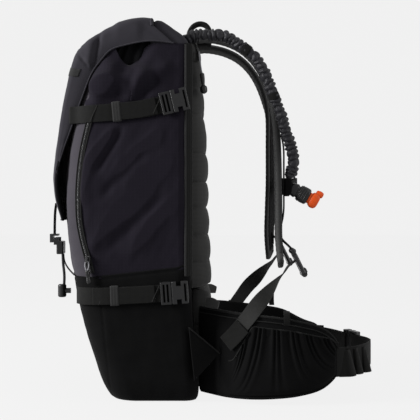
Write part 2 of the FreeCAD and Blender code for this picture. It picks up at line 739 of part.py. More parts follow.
def make_zip_puller():
    """A moulded pull that hangs from the slider's bridge on a pin of its own."""
    pin = cylinder(vec(-3.2, -PULL_OUT, -PULL_DOWN), vec(1, 0, 0), 1.02, 6.4)
    grip = box(-3.2, 3.2, -PULL_OUT - 1.6, -PULL_OUT + 1.6, -34, -11)
    grip = grip.makeFillet(1.2, grip.Edges)
    shape = pin.fuse(grip)
    for x in (-3.2, 1.8):
        shape = shape.fuse(box(x, x + 1.4, -PULL_OUT - 1, -PULL_OUT + 1, -12, -0.7))
    return on_zip(shape.removeSplitter())


def make_back_puller():
    """The back zip's cord pull: a grip and a ball below a pin at the slider."""
    y = -110.5
    pin = cylinder(vec(64.5, y - 1.5, 518), vec(0, 1, 0), 1.2, 8)
    stem = cylinder(vec(64.5, y, 518.5), vec(4.5, 0, -32), 1.6, 34)
    grip = cylinder(vec(69.0, y, 487), vec(1, 0, -12), 3.4, 20)
    grip = grip.makeFillet(1.0, [e for e in grip.Edges if len(e.Vertexes) == 1])
    ball = Part.makeSphere(4.6, vec(70.8, y, 464))
    return pin.fuse(stem).fuse(grip).fuse(ball)


def make_cords():
    tail = [vec(-153.5, 0, 211), vec(-153.4, 0, 198.5), vec(-151.8, 0, 185.5), vec(-150.7, 0, 173.5),
            vec(-151.4, 0, 162.6)]
    draw = [vec(-153.2, 7, 211), vec(-153.0, 7, 201.5), vec(-149.0, 6.4, 192), vec(-142.5, 4.6, 183.5),
            vec(-134.9, 2, 176.5)]
    save("closure_tail_cord", cord("closure_tail_cord", tail, 2.2))
    save("closure_draw_cord", cord("closure_draw_cord", draw, 1.3))


LOCK_AT = (-154.5, 141.8, 20.8)     # the cord lock's x, lower end and height


def make_cord_lock():
    """A barrel at the end of the tail cord, with a cross bore for its sprung button."""
    x, z, height = LOCK_AT
    barrel = cylinder(vec(x, 0, z), vec(0, 0, 1), 6.7, height)
    barrel = barrel.makeFillet(3.0, [e for e in barrel.Edges if len(e.Vertexes) == 1])
    axis = vec(1, 0, 0)
    middle = z + height / 2
    barrel = barrel.cut(cylinder(vec(x - 2, 0, middle), axis, 4.3, 20))
    button = cylinder(vec(x + 2, 0, middle), axis, 4.2, 11.8)
    return barrel, button


# ---- the whole object ----
bag = make_bag()
save("airbag_cover", make_airbag_cover())
make_frame()
save("back_pad", make_back_pad())
save("harness_yoke", make_yoke())
save("haul_loop", make_haul_loop())
lumbar = make_lumbar_pad()
save("lumbar_pad", lumbar)
wing = upright_ribbon(WING_PLAN, WING_LOW, WING_HIGH, 14.0).cut(lumbar)
save("hip_wings", both_sides(wing))
save("belt_webbing", make_belt_webbing())
belt_x, belt_y, belt_z, belt_turn = BELT_BUCKLE
save("belt_socket", placed(buckle_socket(WEB_38, 12.0), belt_x, belt_y, belt_z, 0, belt_turn))
save("belt_plug", placed(buckle_plug(WEB_38, 8.0), belt_x, belt_y, belt_z, 0, belt_turn))
save("shoulder_straps", both_sides(make_shoulder_strap()))
save("lower_webbing", both_sides(make_lower_webbing()))
lock = make_ladder_lock()
save("ladder_lock_right", lock)
save("ladder_lock_left", mirrored(lock))
save("sternum_rails", both_sides(make_rail()))
save("sternum_sliders", both_sides(make_sternum_slider()))
save("sternum_webbing", make_sternum_webbing())
save("sternum_socket", placed(buckle_socket(20.0, 9.0), STERNUM_X + 4.2, 0.5, STERNUM_Z, 0, 90))
save("sternum_plug", placed(buckle_plug(20.0, 6.0), STERNUM_X + 4.2, 0.5, STERNUM_Z, 0, 90))
save("hose_sleeve", make_sleeve())
save("trigger_cable", cord("trigger_cable", cable_route(), CABLE_R))
make_trigger()
make_gas_system()
save("folded_airbag", make_folded_airbag())
save("lid_flap", make_lid())
upper_keeper = keeper(-55.0, -SIDE_WEB_Y, 425.9, 5.5)
save("lid_webbing", group([both_sides(upper_strap()), both_sides(upper_keeper), closure_strip()]))
upper_x, upper_z, upper_tilt = UPPER_BUCKLE
lower_x, lower_z, lower_tilt = LOWER_BUCKLE
save("upper_plugs", both_sides(placed(buckle_plug(WEB_25, 6.0), upper_x, -BUCKLE_Y, upper_z, upper_tilt)))
sockets = [placed(buckle_socket(WEB_25, 9.0), upper_x, -BUCKLE_Y, upper_z, upper_tilt),
           placed(buckle_socket(WEB_25, 9.0), lower_x, -BUCKLE_Y, lower_z, lower_tilt)]
save("strap_sockets", group([both_sides(s) for s in sockets]))
anchors = [anchor_web(upper_x, upper_z, upper_tilt), anchor_web(lower_x, lower_z, lower_tilt)]
anchors = [anchor.cut(bag) for anchor in anchors]
save("pack_webbing", group([both_sides(lower_strap())] + [both_sides(a) for a in anchors]))
lower_plug = placed(buckle_plug(WEB_25, 6.0), lower_x, -BUCKLE_Y, lower_z, lower_tilt)
save("lower_plug_right", lower_plug)
save("lower_plug_left", mirrored(lower_plug))
keepers = [both_sides(keeper(-58.0, -149.7, 158.8, 2.0)),
           sleeve_keeper(135.0, -103, 522.5, -35, 12),
           sleeve_keeper(176.5, -102.8, 452.5, -68, 11)]
save("webbing_keepers", group(keepers))
save("closure_hook", make_hook())
save("closure_adjuster", make_adjuster())
make_cords()
cord_lock, cord_lock_button = make_cord_lock()
save("cord_lock", cord_lock)
save("cord_lock_button", cord_lock_button)
save("zip_tapes", make_zip_tapes())
save("side_zip_slider", make_zip_slider())
save("side_zip_puller", make_zip_puller())
save("back_zip_puller", make_back_puller())
print(len(os.listdir("parts")), "nodes")
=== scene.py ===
import math

import bmesh
import bpy
import numpy as np
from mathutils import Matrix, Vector


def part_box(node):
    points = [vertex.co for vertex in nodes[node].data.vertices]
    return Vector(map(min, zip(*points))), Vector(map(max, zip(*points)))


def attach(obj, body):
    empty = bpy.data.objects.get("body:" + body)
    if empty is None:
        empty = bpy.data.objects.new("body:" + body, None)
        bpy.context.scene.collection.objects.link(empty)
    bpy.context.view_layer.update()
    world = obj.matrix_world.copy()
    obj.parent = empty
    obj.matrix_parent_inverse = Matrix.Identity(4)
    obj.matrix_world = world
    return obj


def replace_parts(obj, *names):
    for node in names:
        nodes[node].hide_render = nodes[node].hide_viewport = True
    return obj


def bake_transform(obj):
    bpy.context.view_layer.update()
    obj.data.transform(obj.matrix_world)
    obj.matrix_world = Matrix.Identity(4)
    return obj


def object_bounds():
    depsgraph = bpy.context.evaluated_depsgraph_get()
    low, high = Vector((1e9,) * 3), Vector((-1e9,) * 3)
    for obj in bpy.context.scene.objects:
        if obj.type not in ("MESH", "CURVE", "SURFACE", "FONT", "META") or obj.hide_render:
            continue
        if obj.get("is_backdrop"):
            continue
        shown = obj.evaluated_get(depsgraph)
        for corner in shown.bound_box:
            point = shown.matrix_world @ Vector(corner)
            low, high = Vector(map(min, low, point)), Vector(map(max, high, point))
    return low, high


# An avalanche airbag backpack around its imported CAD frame. Shapes are written in millimetres
# and turned into metres where each mesh is made.

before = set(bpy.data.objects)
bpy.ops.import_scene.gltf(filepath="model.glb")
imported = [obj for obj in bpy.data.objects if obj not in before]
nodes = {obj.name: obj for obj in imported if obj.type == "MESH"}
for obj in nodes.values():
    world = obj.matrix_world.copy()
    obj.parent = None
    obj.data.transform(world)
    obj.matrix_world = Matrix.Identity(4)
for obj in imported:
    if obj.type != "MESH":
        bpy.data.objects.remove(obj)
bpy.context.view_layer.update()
MM = 0.001
RIGHT, LEFT = -1.0, 1.0         # the wearer's right is the side that faces the camera
SIDES = ((RIGHT, "right"), (LEFT, "left"))
ACROSS, UPRIGHT = (0, 1, 0), (0, 0, 1)
Y_AXIS = np.array(ACROSS)
FAR = 900                       # a distance well outside the pack


# ---- small maths ----
def smooth_rows(rows, count):
    """Rows of numbers, spaced by their first three, resampled with a smooth curve through them."""
    rows = np.array(rows, float)
    step = np.linalg.norm(np.diff(rows[:, :3], axis=0), axis=1)
    at = np.concatenate([[0], np.cumsum(np.maximum(step, 1e-6))])
    return np.stack([hermite(at, rows[:, k], np.linspace(0, at[-1], count)) for k in range(rows.shape[1])], 1)


def hermite(xs, ys, x):
    """A smooth curve through the points (xs, ys), without overshoot at the ends."""
    xs, ys, x = np.array(xs, float), np.array(ys, float), np.array(x, float)
    slope = np.gradient(ys, xs)
    i = np.clip(np.searchsorted(xs, x) - 1, 0, len(xs) - 2)
    h = xs[i + 1] - xs[i]
    t = np.clip((x - xs[i]) / h, 0, 1)
    a = 2 * t**3 - 3 * t**2 + 1
    b = t**3 - 2 * t**2 + t
    c = -2 * t**3 + 3 * t**2
    d = t**3 - t**2
    return a * ys[i] + b * h * slope[i] + c * ys[i + 1] + d * h * slope[i + 1]


def ramp(x, low, high):
    t = np.clip((np.asarray(x, float) - low) / (high - low), 0, 1)
    return t * t * (3 - 2 * t)


def waves(a, b, period, seed):
    """Soft irregular ripples from -1 to 1 over the plane (a, b)."""
    rng = np.random.default_rng(seed)
    total = 0
    for _ in range(7):
        turn = rng.uniform(0, math.pi)
        scale = 2 * math.pi / (period * rng.uniform(0.6, 1.7))
        total = total + np.sin((a * math.cos(turn) + b * math.sin(turn)) * scale + rng.uniform(0, 6.3))
    return total / 7


def fold(a, b, start, end, width, height):
    """A ridge (or a furrow, with a height below 0) from start to end in the plane (a, b)."""
    start, end = np.array(start, float), np.array(end, float)
    along = end - start
    length = np.linalg.norm(along)
    unit = along / length
    u = (a - start[0]) * unit[0] + (b - start[1]) * unit[1]
    v = (b - start[1]) * unit[0] - (a - start[0]) * unit[1]
    ends = ramp(u, -0.15 * length, 0.2 * length) * (1 - ramp(u, 0.8 * length, 1.15 * length))
    return height * np.exp(-((v / width) ** 2)) * ends


def tall(low, high, count):
    """Evenly spaced numbers down the rows of a grid."""
    return np.linspace(low, high, count)[:, None]


def wide(low, high, count):
    """Evenly spaced numbers over the columns of a grid."""
    return np.linspace(low, high, count)[None, :]


def normals(grid):
    """Unit normals of a grid of points."""
    du = np.gradient(grid, axis=0)
    dv = np.gradient(grid, axis=1)
    n = np.cross(du, dv)
    size = np.linalg.norm(n, axis=2, keepdims=True)
    return n / np.maximum(size, 1e-9)


def normals_toward(grid, axis, sign):
    """Unit normals turned so that most of them point to one side of an axis."""
    out = normals(grid)
    return -out if out[..., axis].mean() * sign < 0 else out


# ---- materials ----
def tree(name):
    made = bpy.data.materials.new(name)
    made.use_nodes = True
    t = made.node_tree
    t.nodes.clear()
    out = t.nodes.new("ShaderNodeOutputMaterial")
    shader = t.nodes.new("ShaderNodeBsdfPrincipled")
    t.links.new(shader.outputs[0], out.inputs[0])
    place = t.nodes.new("ShaderNodeTexCoord").outputs["Object"]
    return made, t, shader, place


def link(t, a, b):
    t.links.new(a, b)


def maths(t, operation, a, b=0.0):
    node = t.nodes.new("ShaderNodeMath")
    node.operation = operation
    for socket, value in zip(node.inputs, (a, b)):
        if isinstance(value, (int, float)):
            socket.default_value = value
        else:
            link(t, value, socket)
    return node.outputs[0]


def bands(t, place, axis, period, distort=0.0):
    """Sine bands across one axis, period in metres."""
    node = t.nodes.new("ShaderNodeTexWave")
    node.bands_direction = axis
    node.inputs["Scale"].default_value = 0.31416 / period
    node.inputs["Distortion"].default_value = distort
    node.inputs["Detail"].default_value = 1.0
    link(t, place, node.inputs["Vector"])
    return node.outputs["Fac"]


def noise(t, place, scale, detail=3.0):
    node = t.nodes.new("ShaderNodeTexNoise")
    node.inputs["Scale"].default_value = scale
    node.inputs["Detail"].default_value = detail
    link(t, place, node.inputs["Vector"])
    return node.outputs["Fac"]


def mix(t, factor, a, b):
    node = t.nodes.new("ShaderNodeMix")
    node.data_type = "RGBA"
    link(t, factor, node.inputs["Factor"])
    for socket, value in ((node.inputs["A"], a), (node.inputs["B"], b)):
        if isinstance(value, tuple):
            socket.default_value = (*value, 1.0)
        else:
            link(t, value, socket)
    return node.outputs["Result"]


def scaled(colour, by):
    return tuple(min(1.0, c * by) for c in colour)


def spread(t, value, low, high, from_low=0.0, from_high=1.0):
    """A value spread over a new range."""
    node = t.nodes.new("ShaderNodeMapRange")
    link(t, value, node.inputs["Value"])
    for socket, number in (("From Min", from_low), ("From Max", from_high), ("To Min", low),
                           ("To Max", high)):
        node.inputs[socket].default_value = number
    return node.outputs["Result"]


def bump(t, shader, height, distance):
    node = t.nodes.new("ShaderNodeBump")
    node.inputs["Distance"].default_value = distance
    link(t, height, node.inputs["Height"])
    link(t, node.outputs["Normal"], shader.inputs["Normal"])


def choose(t, factor, a, b):
    """The value a where factor is 0 and b where it is 1."""
    return maths(t, "ADD", a, maths(t, "MULTIPLY", factor, maths(t, "SUBTRACT", b, a)))


def weave_bands(t, place, weave):
    """Threads both ways in the plane of the cloth, whichever way it faces."""
    split = t.nodes.new("ShaderNodeSeparateXYZ")
    link(t, t.nodes.new("ShaderNodeTexCoord").outputs["Normal"], split.inputs[0])
    x, y, z = [maths(t, "ABSOLUTE", split.outputs[k]) for k in range(3)]
    forward, level = maths(t, "GREATER_THAN", x, y), maths(t, "GREATER_THAN", z, 0.75)
    along_x, along_y, along_z = [bands(t, place, axis, weave, 0.6) for axis in "XYZ"]
    warp = choose(t, level, along_z, along_x)
    weft = choose(t, maths(t, "MAXIMUM", forward, level), along_x, along_y)
    return warp, weft


GRID_AT, GRID_SHARE, GRID_TONE, GRID_RISE = 0.93, 0.22, 1.7, 0.4       # the ripstop grid's raised lines
CLOUD_TONE = 0.55


def fabric(name, colour, weave, depth, rough, sheen, grid=None, contrast=0.35, specular=0.035, mottle=0.25):
    """Woven cloth: weave and an optional ripstop grid in metres, with uneven tone and sheen."""
    made, t, shader, place = tree(name)
    warp, weft = weave_bands(t, place, weave)
    thread = maths(t, "ADD", maths(t, "MULTIPLY", warp, 0.5), maths(t, "MULTIPLY", weft, 0.25))
    height = thread
    tone = mix(t, thread, scaled(colour, 1 - contrast), scaled(colour, 1 + contrast))
    if grid:
        line_z = maths(t, "GREATER_THAN", bands(t, place, "Z", grid), GRID_AT)
        line_x = maths(t, "GREATER_THAN", bands(t, place, "X", grid), GRID_AT)
        lines = maths(t, "MAXIMUM", line_z, line_x)
        tone = mix(t, maths(t, "MULTIPLY", lines, GRID_SHARE), tone, scaled(colour, GRID_TONE))
        height = maths(t, "ADD", thread, maths(t, "MULTIPLY", lines, GRID_RISE))
    cloud = noise(t, place, 14.0, 4.0)
    tone = mix(t, maths(t, "MULTIPLY", cloud, mottle * 2), tone, scaled(colour, CLOUD_TONE))
    link(t, tone, shader.inputs["Base Color"])
    link(t, spread(t, noise(t, place, 60.0), rough - 0.1, min(rough + 0.1, 1.0)), shader.inputs["Roughness"])
    shader.inputs["Specular IOR Level"].default_value = specular
    shader.inputs["Sheen Weight"].default_value = sheen
    shader.inputs["Sheen Roughness"].default_value = 0.45
    bump(t, shader, height, depth)
    return made


def plastic(name, colour, rough, worn=1.6, specular=0.35):
    """Moulded plastic with a fine grain and edges rubbed a little lighter."""
    made, t, shader, place = tree(name)
    edge = t.nodes.new("ShaderNodeNewGeometry").outputs["Pointiness"]
    rub = spread(t, edge, 0.0, 1.0, 0.5, 0.62)
    patchy = maths(t, "MULTIPLY", rub, noise(t, place, 220.0))
    tone = mix(t, noise(t, place, 90.0), scaled(colour, 0.85), scaled(colour, 1.15))
    link(t, mix(t, patchy, tone, scaled(colour, worn)), shader.inputs["Base Color"])
    link(t, spread(t, noise(t, place, 400.0), rough - 0.08, rough + 0.1), shader.inputs["Roughness"])
    shader.inputs["Specular IOR Level"].default_value = specular
    bump(t, shader, noise(t, place, 2600.0, 2.0), 0.00008)
    return made


def metal(name, colour, rough):
    made, t, shader, place = tree(name)
    streak = noise(t, place, 180.0, 5.0)
    link(t, mix(t, streak, scaled(colour, 0.8), scaled(colour, 1.1)), shader.inputs["Base Color"])
    link(t, spread(t, streak, rough, rough + 0.15), shader.inputs["Roughness"])
    shader.inputs["Metallic"].default_value = 1.0
    bump(t, shader, noise(t, place, 1500.0), 0.00003)
    return made


NAVY = (0.0062, 0.0052, 0.0082)
GREY = (0.027, 0.0248, 0.0297)
SLATE = (0.0190, 0.0180, 0.0218)
BLACK = (0.0030, 0.0030, 0.0031)
CHARCOAL = (0.031, 0.031, 0.0305)
WEB = (0.0047, 0.0047, 0.0045)

M_SIDE = fabric("ripstop", NAVY, 0.0011, 0.00012, 0.82, 0.02, grid=0.0052)
M_FRONT = fabric("front_cloth", GREY, 0.0012, 0.00014, 0.85, 0.03)
M_LID = fabric("lid_cloth", SLATE, 0.0012, 0.00014, 0.85, 0.04)
M_BOOT = fabric("boot_cloth", BLACK, 0.0016, 0.0003, 0.88, 0.01, contrast=0.5, specular=0.025)
M_LINING = fabric("lining", (0.0035, 0.0035, 0.004), 0.0009, 0.0001, 0.95, 0.0, specular=0.02)
M_PAD = fabric("pad_mesh", CHARCOAL, 0.0019, 0.00035, 0.9, 0.08, contrast=0.55)
M_GUSSET = fabric("gusset_cloth", (0.0075, 0.0075, 0.0074), 0.0014, 0.0002, 0.86, 0.02)
M_WEB = fabric("webbing", WEB, 0.0017, 0.0004, 0.75, 0.03, contrast=0.55, specular=0.05)
M_WEB_LIGHT = fabric("webbing_grey", (0.016, 0.016, 0.0155), 0.0017, 0.0004, 0.75, 0.04, contrast=0.5,
                     specular=0.06)
M_BIND = fabric("binding", (0.017, 0.017, 0.017), 0.0012, 0.0002, 0.8, 0.05, contrast=0.5)
M_STRETCH = fabric("stretch_cloth", (0.0026, 0.0026, 0.0027), 0.0008, 0.00012, 0.9, 0.01, specular=0.025)
M_SLEEVE = fabric("sleeve_cloth", (0.0052, 0.0050, 0.0072), 0.0008, 0.0001, 0.55, 0.03, specular=0.2)
M_CORD = fabric("cord", (0.02, 0.02, 0.021), 0.0013, 0.0003, 0.8, 0.1, contrast=0.6)
M_CORD_LIGHT = fabric("cord_light", (0.16, 0.16, 0.17), 0.0013, 0.0002, 0.7, 0.1, contrast=0.5)
M_AIRBAG = fabric("airbag_cloth", (0.55, 0.14, 0.03), 0.001, 0.0001, 0.6, 0.05)
M_PLASTIC = plastic("black_acetal", (0.0032, 0.0032, 0.0034), 0.32, worn=4.0, specular=0.24)
M_PLASTIC_GREY = plastic("grey_acetal", (0.018, 0.018, 0.0185), 0.4, worn=2.2)
M_ORANGE = plastic("orange_handle", (0.37, 0.042, 0.0034), 0.45, worn=1.15, specular=0.15)
M_ALU = metal("aluminium", (0.62, 0.62, 0.64), 0.35)
M_BRASS = metal("brass", (0.6, 0.42, 0.17), 0.3)
M_STEEL = metal("steel", (0.5, 0.5, 0.5), 0.3)
M_HOSE = plastic("hose_rubber", (0.012, 0.012, 0.012), 0.7)


# ---- mesh making ----
def placed(name, data):
    obj = bpy.data.objects.new(name, data)
    bpy.context.scene.collection.objects.link(obj)
    return obj


def add_mesh(name, verts, faces, material, body):
    mesh = bpy.data.meshes.new(name)
    mesh.from_pydata((np.asarray(verts, float) * MM).tolist(), [], faces)
    mesh.validate()
    for polygon in mesh.polygons:
        polygon.use_smooth = True
    mesh.materials.append(material)
    obj = placed(name, mesh)
    if body:
        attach(obj, body)
    return obj


def quads(nu, nv, closed_u=False, closed_v=False, start=0):
    faces = []
    for i in range(nu if closed_u else nu - 1):
        for j in range(nv if closed_v else nv - 1):
            i1, j1 = (i + 1) % nu, (j + 1) % nv
            faces.append((start + i * nv + j, start + i1 * nv + j, start + i1 * nv + j1, start + i * nv + j1))
    return faces


def recalc(obj):
    """Turns the faces of a closed mesh outwards."""
    bm = bmesh.new()
    bm.from_mesh(obj.data)
    bmesh.ops.recalc_face_normals(bm, faces=bm.faces)
    bm.to_mesh(obj.data)
    bm.free()
    return obj


def panel(name, grid, material, body, thick, outward):
    """A sheet of cloth over a grid of points, thickened inwards. outward is a point outside it."""
    nu, nv = grid.shape[:2]
    facing = normals(grid).mean(axis=(0, 1))
    toward = np.array(outward, float) - grid.mean(axis=(0, 1))
    if np.dot(facing, toward) < 0:
        grid = grid[:, ::-1]
    obj = add_mesh(name, grid.reshape(-1, 3), quads(nu, nv), material, body)
    solid = obj.modifiers.new("thick", "SOLIDIFY")
    solid.thickness = thick * MM
    solid.offset = -1.0
    solid.use_even_offset = False
    return obj


def closed_form(name, sections, material, body):
    """A closed skin over a stack of closed sections, with its ends drawn to their middles."""
    count, around = len(sections), len(sections[0])
    verts = np.concatenate([np.asarray(s, float) for s in sections])
    faces = quads(count, around, closed_v=True)
    first, last = len(verts), len(verts) + 1
    verts = np.concatenate([verts, [np.mean(sections[0], axis=0)], [np.mean(sections[-1], axis=0)]])
    for j in range(around):
        k = (j + 1) % around
        faces.append((first, j, k))
        faces.append((last, (count - 1) * around + k, (count - 1) * around + j))
    return recalc(add_mesh(name, verts, faces, material, body))


def frames_along(points, up):
    """Tangent, across and out directions at each point; up is one direction or one for each point."""
    points = np.asarray(points, float)
    tangent = np.gradient(points, axis=0)
    tangent /= np.linalg.norm(tangent, axis=1, keepdims=True)
    up = np.broadcast_to(np.asarray(up, float), points.shape)
    out = np.cross(tangent, up)
    out /= np.linalg.norm(out, axis=1, keepdims=True)
    across = np.cross(out, tangent)
    return tangent, across, out


WEB_THICK = 1.6


def smooth_outline(points, count):
    """A smooth line through flat (x, z) points."""
    points = np.array(points, float)
    return smooth_rows(np.concatenate([points, 0 * points[:, :1]], 1), count)[:, :2]


def oval(count, power):
    """Points of a rounded rectangle from -1 to 1 each way."""
    a = np.linspace(0, 2 * math.pi, count, endpoint=False)
    c, s = np.cos(a), np.sin(a)
    return np.stack([np.sign(c) * np.abs(c) ** (2 / power), np.sign(s) * np.abs(s) ** (2 / power)], 1)


def band(name, rows, up, thick=WEB_THICK, material=M_WEB, body="pack", slot="webbing", count=60, power=9.0,
         around=28, bumpy=0.0):
    """A flat strap along rows of (x, y, z, width), its width running along up or a row's last 3 numbers."""
    rows = smooth_rows(rows, count)
    _, across, out = frames_along(rows[:, :3], rows[:, 4:7] if rows.shape[1] > 4 else up)
    shape = oval(around, power)
    sections = []
    for i, row in enumerate(rows):
        lift = bumpy * math.sin(i * 1.9)
        sections.append(row[:3] + across[i] * (shape[:, :1] * row[3] / 2)
                        + out[i] * (shape[:, 1:] * thick / 2 + lift))
    return closed_form(name, sections, material, body)


def flipped(rows):
    """Rows mirrored to the wearer's other side, with their width directions if they hold them."""
    made = []
    for row in rows:
        row = list(row)
        row[1] = -row[1]
        if len(row) > 4:
            row[5] = -row[5]
        made.append(row)
    return made


def with_width(points, width):
    return [(*point, width) for point in points]


def both(make, name, rows, *args, **more):
    """The same strap on the wearer's right and, mirrored, on the left."""
    return make(name + "_right", rows, *args, **more), make(name + "_left", flipped(rows), *args, **more)


def curve(name, points, steps):
    """Curve data with one smooth spline over its control points."""
    data = bpy.data.curves.new(name, "CURVE")
    data.dimensions = "3D"
    spline = data.splines.new("NURBS")
    spline.points.add(len(points) - 1)
    for target, p in zip(spline.points, points):
        target.co = (p[0] * MM, p[1] * MM, p[2] * MM, 1.0)
    spline.order_u = 3
    spline.use_endpoint_u = True
    spline.resolution_u = steps
    return data


def pipe(name, points, radius, material, body="pack"):
    """A round line over points, for piping, cords and bindings."""
    data = curve(name, points, 8)
    data.bevel_depth = radius * MM
    data.bevel_resolution = 3
    data.use_fill_caps = True
    data.materials.append(material)
    obj = placed(name, data)
    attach(obj, body)
    return obj


# ---- stage, lights and camera ----
BACKDROP = (0.875, 0.875, 0.875)
CAMERA_AT, LENS, SHIFT = (0.066, -1.6, 0.305), 85.7, (0.0238, -0.0357)


def glow(name, colour, strength, shade=0.06):
    """A pale matt surface that also gives off an even light, so that it looks the same all over."""
    made = bpy.data.materials.new(name)
    made.use_nodes = True
    t = made.node_tree
    t.nodes.clear()
    out = t.nodes.new("ShaderNodeOutputMaterial")
    emit = t.nodes.new("ShaderNodeEmission")
    emit.inputs[0].default_value = (*colour, 1)
    emit.inputs[1].default_value = strength
    matt = t.nodes.new("ShaderNodeBsdfDiffuse")
    matt.inputs[0].default_value = (shade, shade, shade, 1)
    add = t.nodes.new("ShaderNodeAddShader")
    t.links.new(emit.outputs[0], add.inputs[0])
    t.links.new(matt.outputs[0], add.inputs[1])
    t.links.new(add.outputs[0], out.inputs[0])
    return made


def make_stage():
    half = 6000
    floor = add_mesh("floor", [(-half, -half, -0.6), (half, -half, -0.6), (half, half, -0.6),
                               (-half, half, -0.6)], [(0, 1, 2, 3)],
                               glow("floor_paint", BACKDROP, 0.97, 0.02), None)
    floor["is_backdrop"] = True
    world = bpy.data.worlds.new("studio")
    bpy.context.scene.world = world
    world.use_nodes = True
    background = world.node_tree.nodes["Background"]
    background.inputs[0].default_value = (*BACKDROP, 1)
    background.inputs[1].default_value = 1.0


def area_light(name, place, target, size, power):
    data = bpy.data.lights.new(name, "AREA")
    data.shape = "RECTANGLE"
    data.size, data.size_y = size
    data.energy = power
    obj = placed(name, data)
    obj.location = place
    way = np.array(target, float) - np.array(place, float)
    obj.rotation_euler = Vector(way).to_track_quat("-Z", "Y").to_euler()


def make_camera():
    data = bpy.data.cameras.new("camera")
    data.sensor_width = 36.0
    data.lens = LENS
    data.shift_x, data.shift_y = SHIFT
    obj = placed("camera", data)
    obj.location = CAMERA_AT
    obj.rotation_euler = (math.pi / 2, 0, 0)
    bpy.context.scene.camera = obj


make_camera()
make_stage()
area_light("key", (-2.0, -0.75, 0.95), (-0.05, 0, 0.35), (0.8, 0.9), 150)
area_light("rim", (1.6, -0.7, 0.8), (0.1, 0, 0.3), (0.8, 1.4), 16)
area_light("top", (0.1, 0.2, 1.9), (0.05, 0, 0.3), (1.5, 1.2), 1.5)
bpy.context.scene.view_settings.view_transform = "Standard"


# ---- cords ----
def nurbs_line(points):
    """The points of the smooth line that a spline draws over a route."""
    obj = placed("route", curve("route", points, 16))
    bpy.context.view_layer.update()
    mesh = bpy.data.meshes.new_from_object(obj.evaluated_get(bpy.context.evaluated_depsgraph_get()))
    line = np.array([v.co for v in mesh.vertices], float) / MM
    bpy.data.objects.remove(obj)
    bpy.data.meshes.remove(mesh)
    return line


SLEEVE_ROUTE = [
    (40.0, -103, 531.5), (50.5, -103, 541.5), (65, -103, 545.5), (82, -103, 543.8), (98, -103, 544.6),
    (113, -103, 538.5), (125, -103, 529.5), (135, -103, 522.5), (146, -103, 514.5), (155, -103, 503),
    (163.5, -103, 487), (172.5, -103, 463), (181, -103, 441.5), (189, -103, 422), (193.5, -102.5, 401),
    (202.5, -99.5, 379), (207, -96.5, 361), (205.5, -93.5, 346), (201.5, -91.5, 333),
]
TAIL_ROUTE = [(-153.5, 0, 211), (-153.4, 0, 198.5), (-151.8, 0, 185.5), (-150.7, 0, 173.5),
              (-151.4, 0, 162.6)]
DRAW_ROUTE = [(-153.2, 7, 211), (-153.0, 7, 201.5), (-149.0, 6.4, 192), (-142.5, 4.6, 183.5),
              (-134.9, 2, 176.5)]


def along_line(line):
    """The distance along a line at each of its points."""
    return np.concatenate([[0], np.cumsum(np.linalg.norm(np.diff(line, axis=0), axis=1))])


def resample(line, step):
    """Points at even steps along a line, and their distances."""
    at = along_line(line)
    fresh = np.linspace(0, at[-1], max(int(at[-1] / step), 4))
    return np.stack([np.interp(fresh, at, line[:, k]) for k in range(3)], 1), fresh


def ruched_tube(name, line, radius, material, body):
    """A gathered sleeve: uneven puckered rings along a line, pulled in at its keepers."""
    points, at = resample(line, 0.9)
    rng = np.random.default_rng(11)
    edges = [0.0]
    while edges[-1] < at[-1]:
        edges.append(edges[-1] + rng.uniform(5.0, 10.5))
    edges = np.array(edges)
    tops = rng.uniform(0.82, 1.16, len(edges))
    skew = rng.uniform(0, 2 * math.pi, len(edges))
    _, across, out = frames_along(points, ACROSS)
    around = 36
    angle = np.linspace(0, 2 * math.pi, around, endpoint=False)
    sections = []
    for i, p in enumerate(points):
        shifted = at[i] + 1.8 * np.sin(angle + at[i] * 0.11) + 0.8 * np.sin(3 * angle + at[i] * 0.3)
        k = np.clip(np.searchsorted(edges, shifted) - 1, 0, len(edges) - 2)
        t = np.clip((shifted - edges[k]) / (edges[k + 1] - edges[k]), 0, 1)
        puff = np.sqrt(np.maximum(np.sin(np.pi * t), 0.0))
        r = radius * (0.62 + 0.46 * puff * tops[k])
        r *= 1 + 0.06 * np.sin(3 * angle + skew[k]) + 0.04 * np.sin(7 * angle + 2 * skew[k])
        for keep in KEEPERS_AT:
            r = r * (1 - 0.16 * np.exp(-((at[i] - keep) / 6.5) ** 2))
        sections.append(p + across[i] * (np.cos(angle) * r)[:, None] + out[i] * (np.sin(angle) * r)[:, None])
    return closed_form(name, sections, material, body)


KEEPERS_AT = (112.0, 203.0)
sleeve_line = nurbs_line(SLEEVE_ROUTE)
sleeve = ruched_tube("gathered_sleeve", sleeve_line, 8.5, M_SLEEVE, "pack")
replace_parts(sleeve, "hose_sleeve")
tail = pipe("tail_cord", TAIL_ROUTE, 2.2, M_CORD, "pack")
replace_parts(tail, "closure_tail_cord")
draw = pipe("draw_cord", DRAW_ROUTE, 1.3, M_CORD, "pack")
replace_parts(draw, "closure_draw_cord")


# ---- bag shell ----
CORNER, REAR_CORNER, BOW = 38.0, 18.0, 12.0
CLOTH, LIGHT_CLOTH = 2.0, 1.0           # thicknesses
SIDE_FOOT, SIDE_HEAD, FRONT_HEAD = 183, 520, 512
GUSSET_FOOT, GUSSET_HEAD = 186, 529
SIDE_REACH = 148.4                      # how far out the sides may swell
RING_Z = [0, 4, 10, 60, 120, 185, 260, 340, 420, 470, 505, 530, 545]
RING_FRONT = [-75, -79.5, -83, -101, -118.5, -131, -142, -142, -130, -120, -110, -99, -90]
RING_REAR = [60, 62, 63, 60, 55, 52, 52, 52, 52, 52, 52, 52, 52]
RING_HALF = [121, 125.5, 129, 138, 143, 147, 148, 148, 146, 139, 132, 131.3, 131.3]


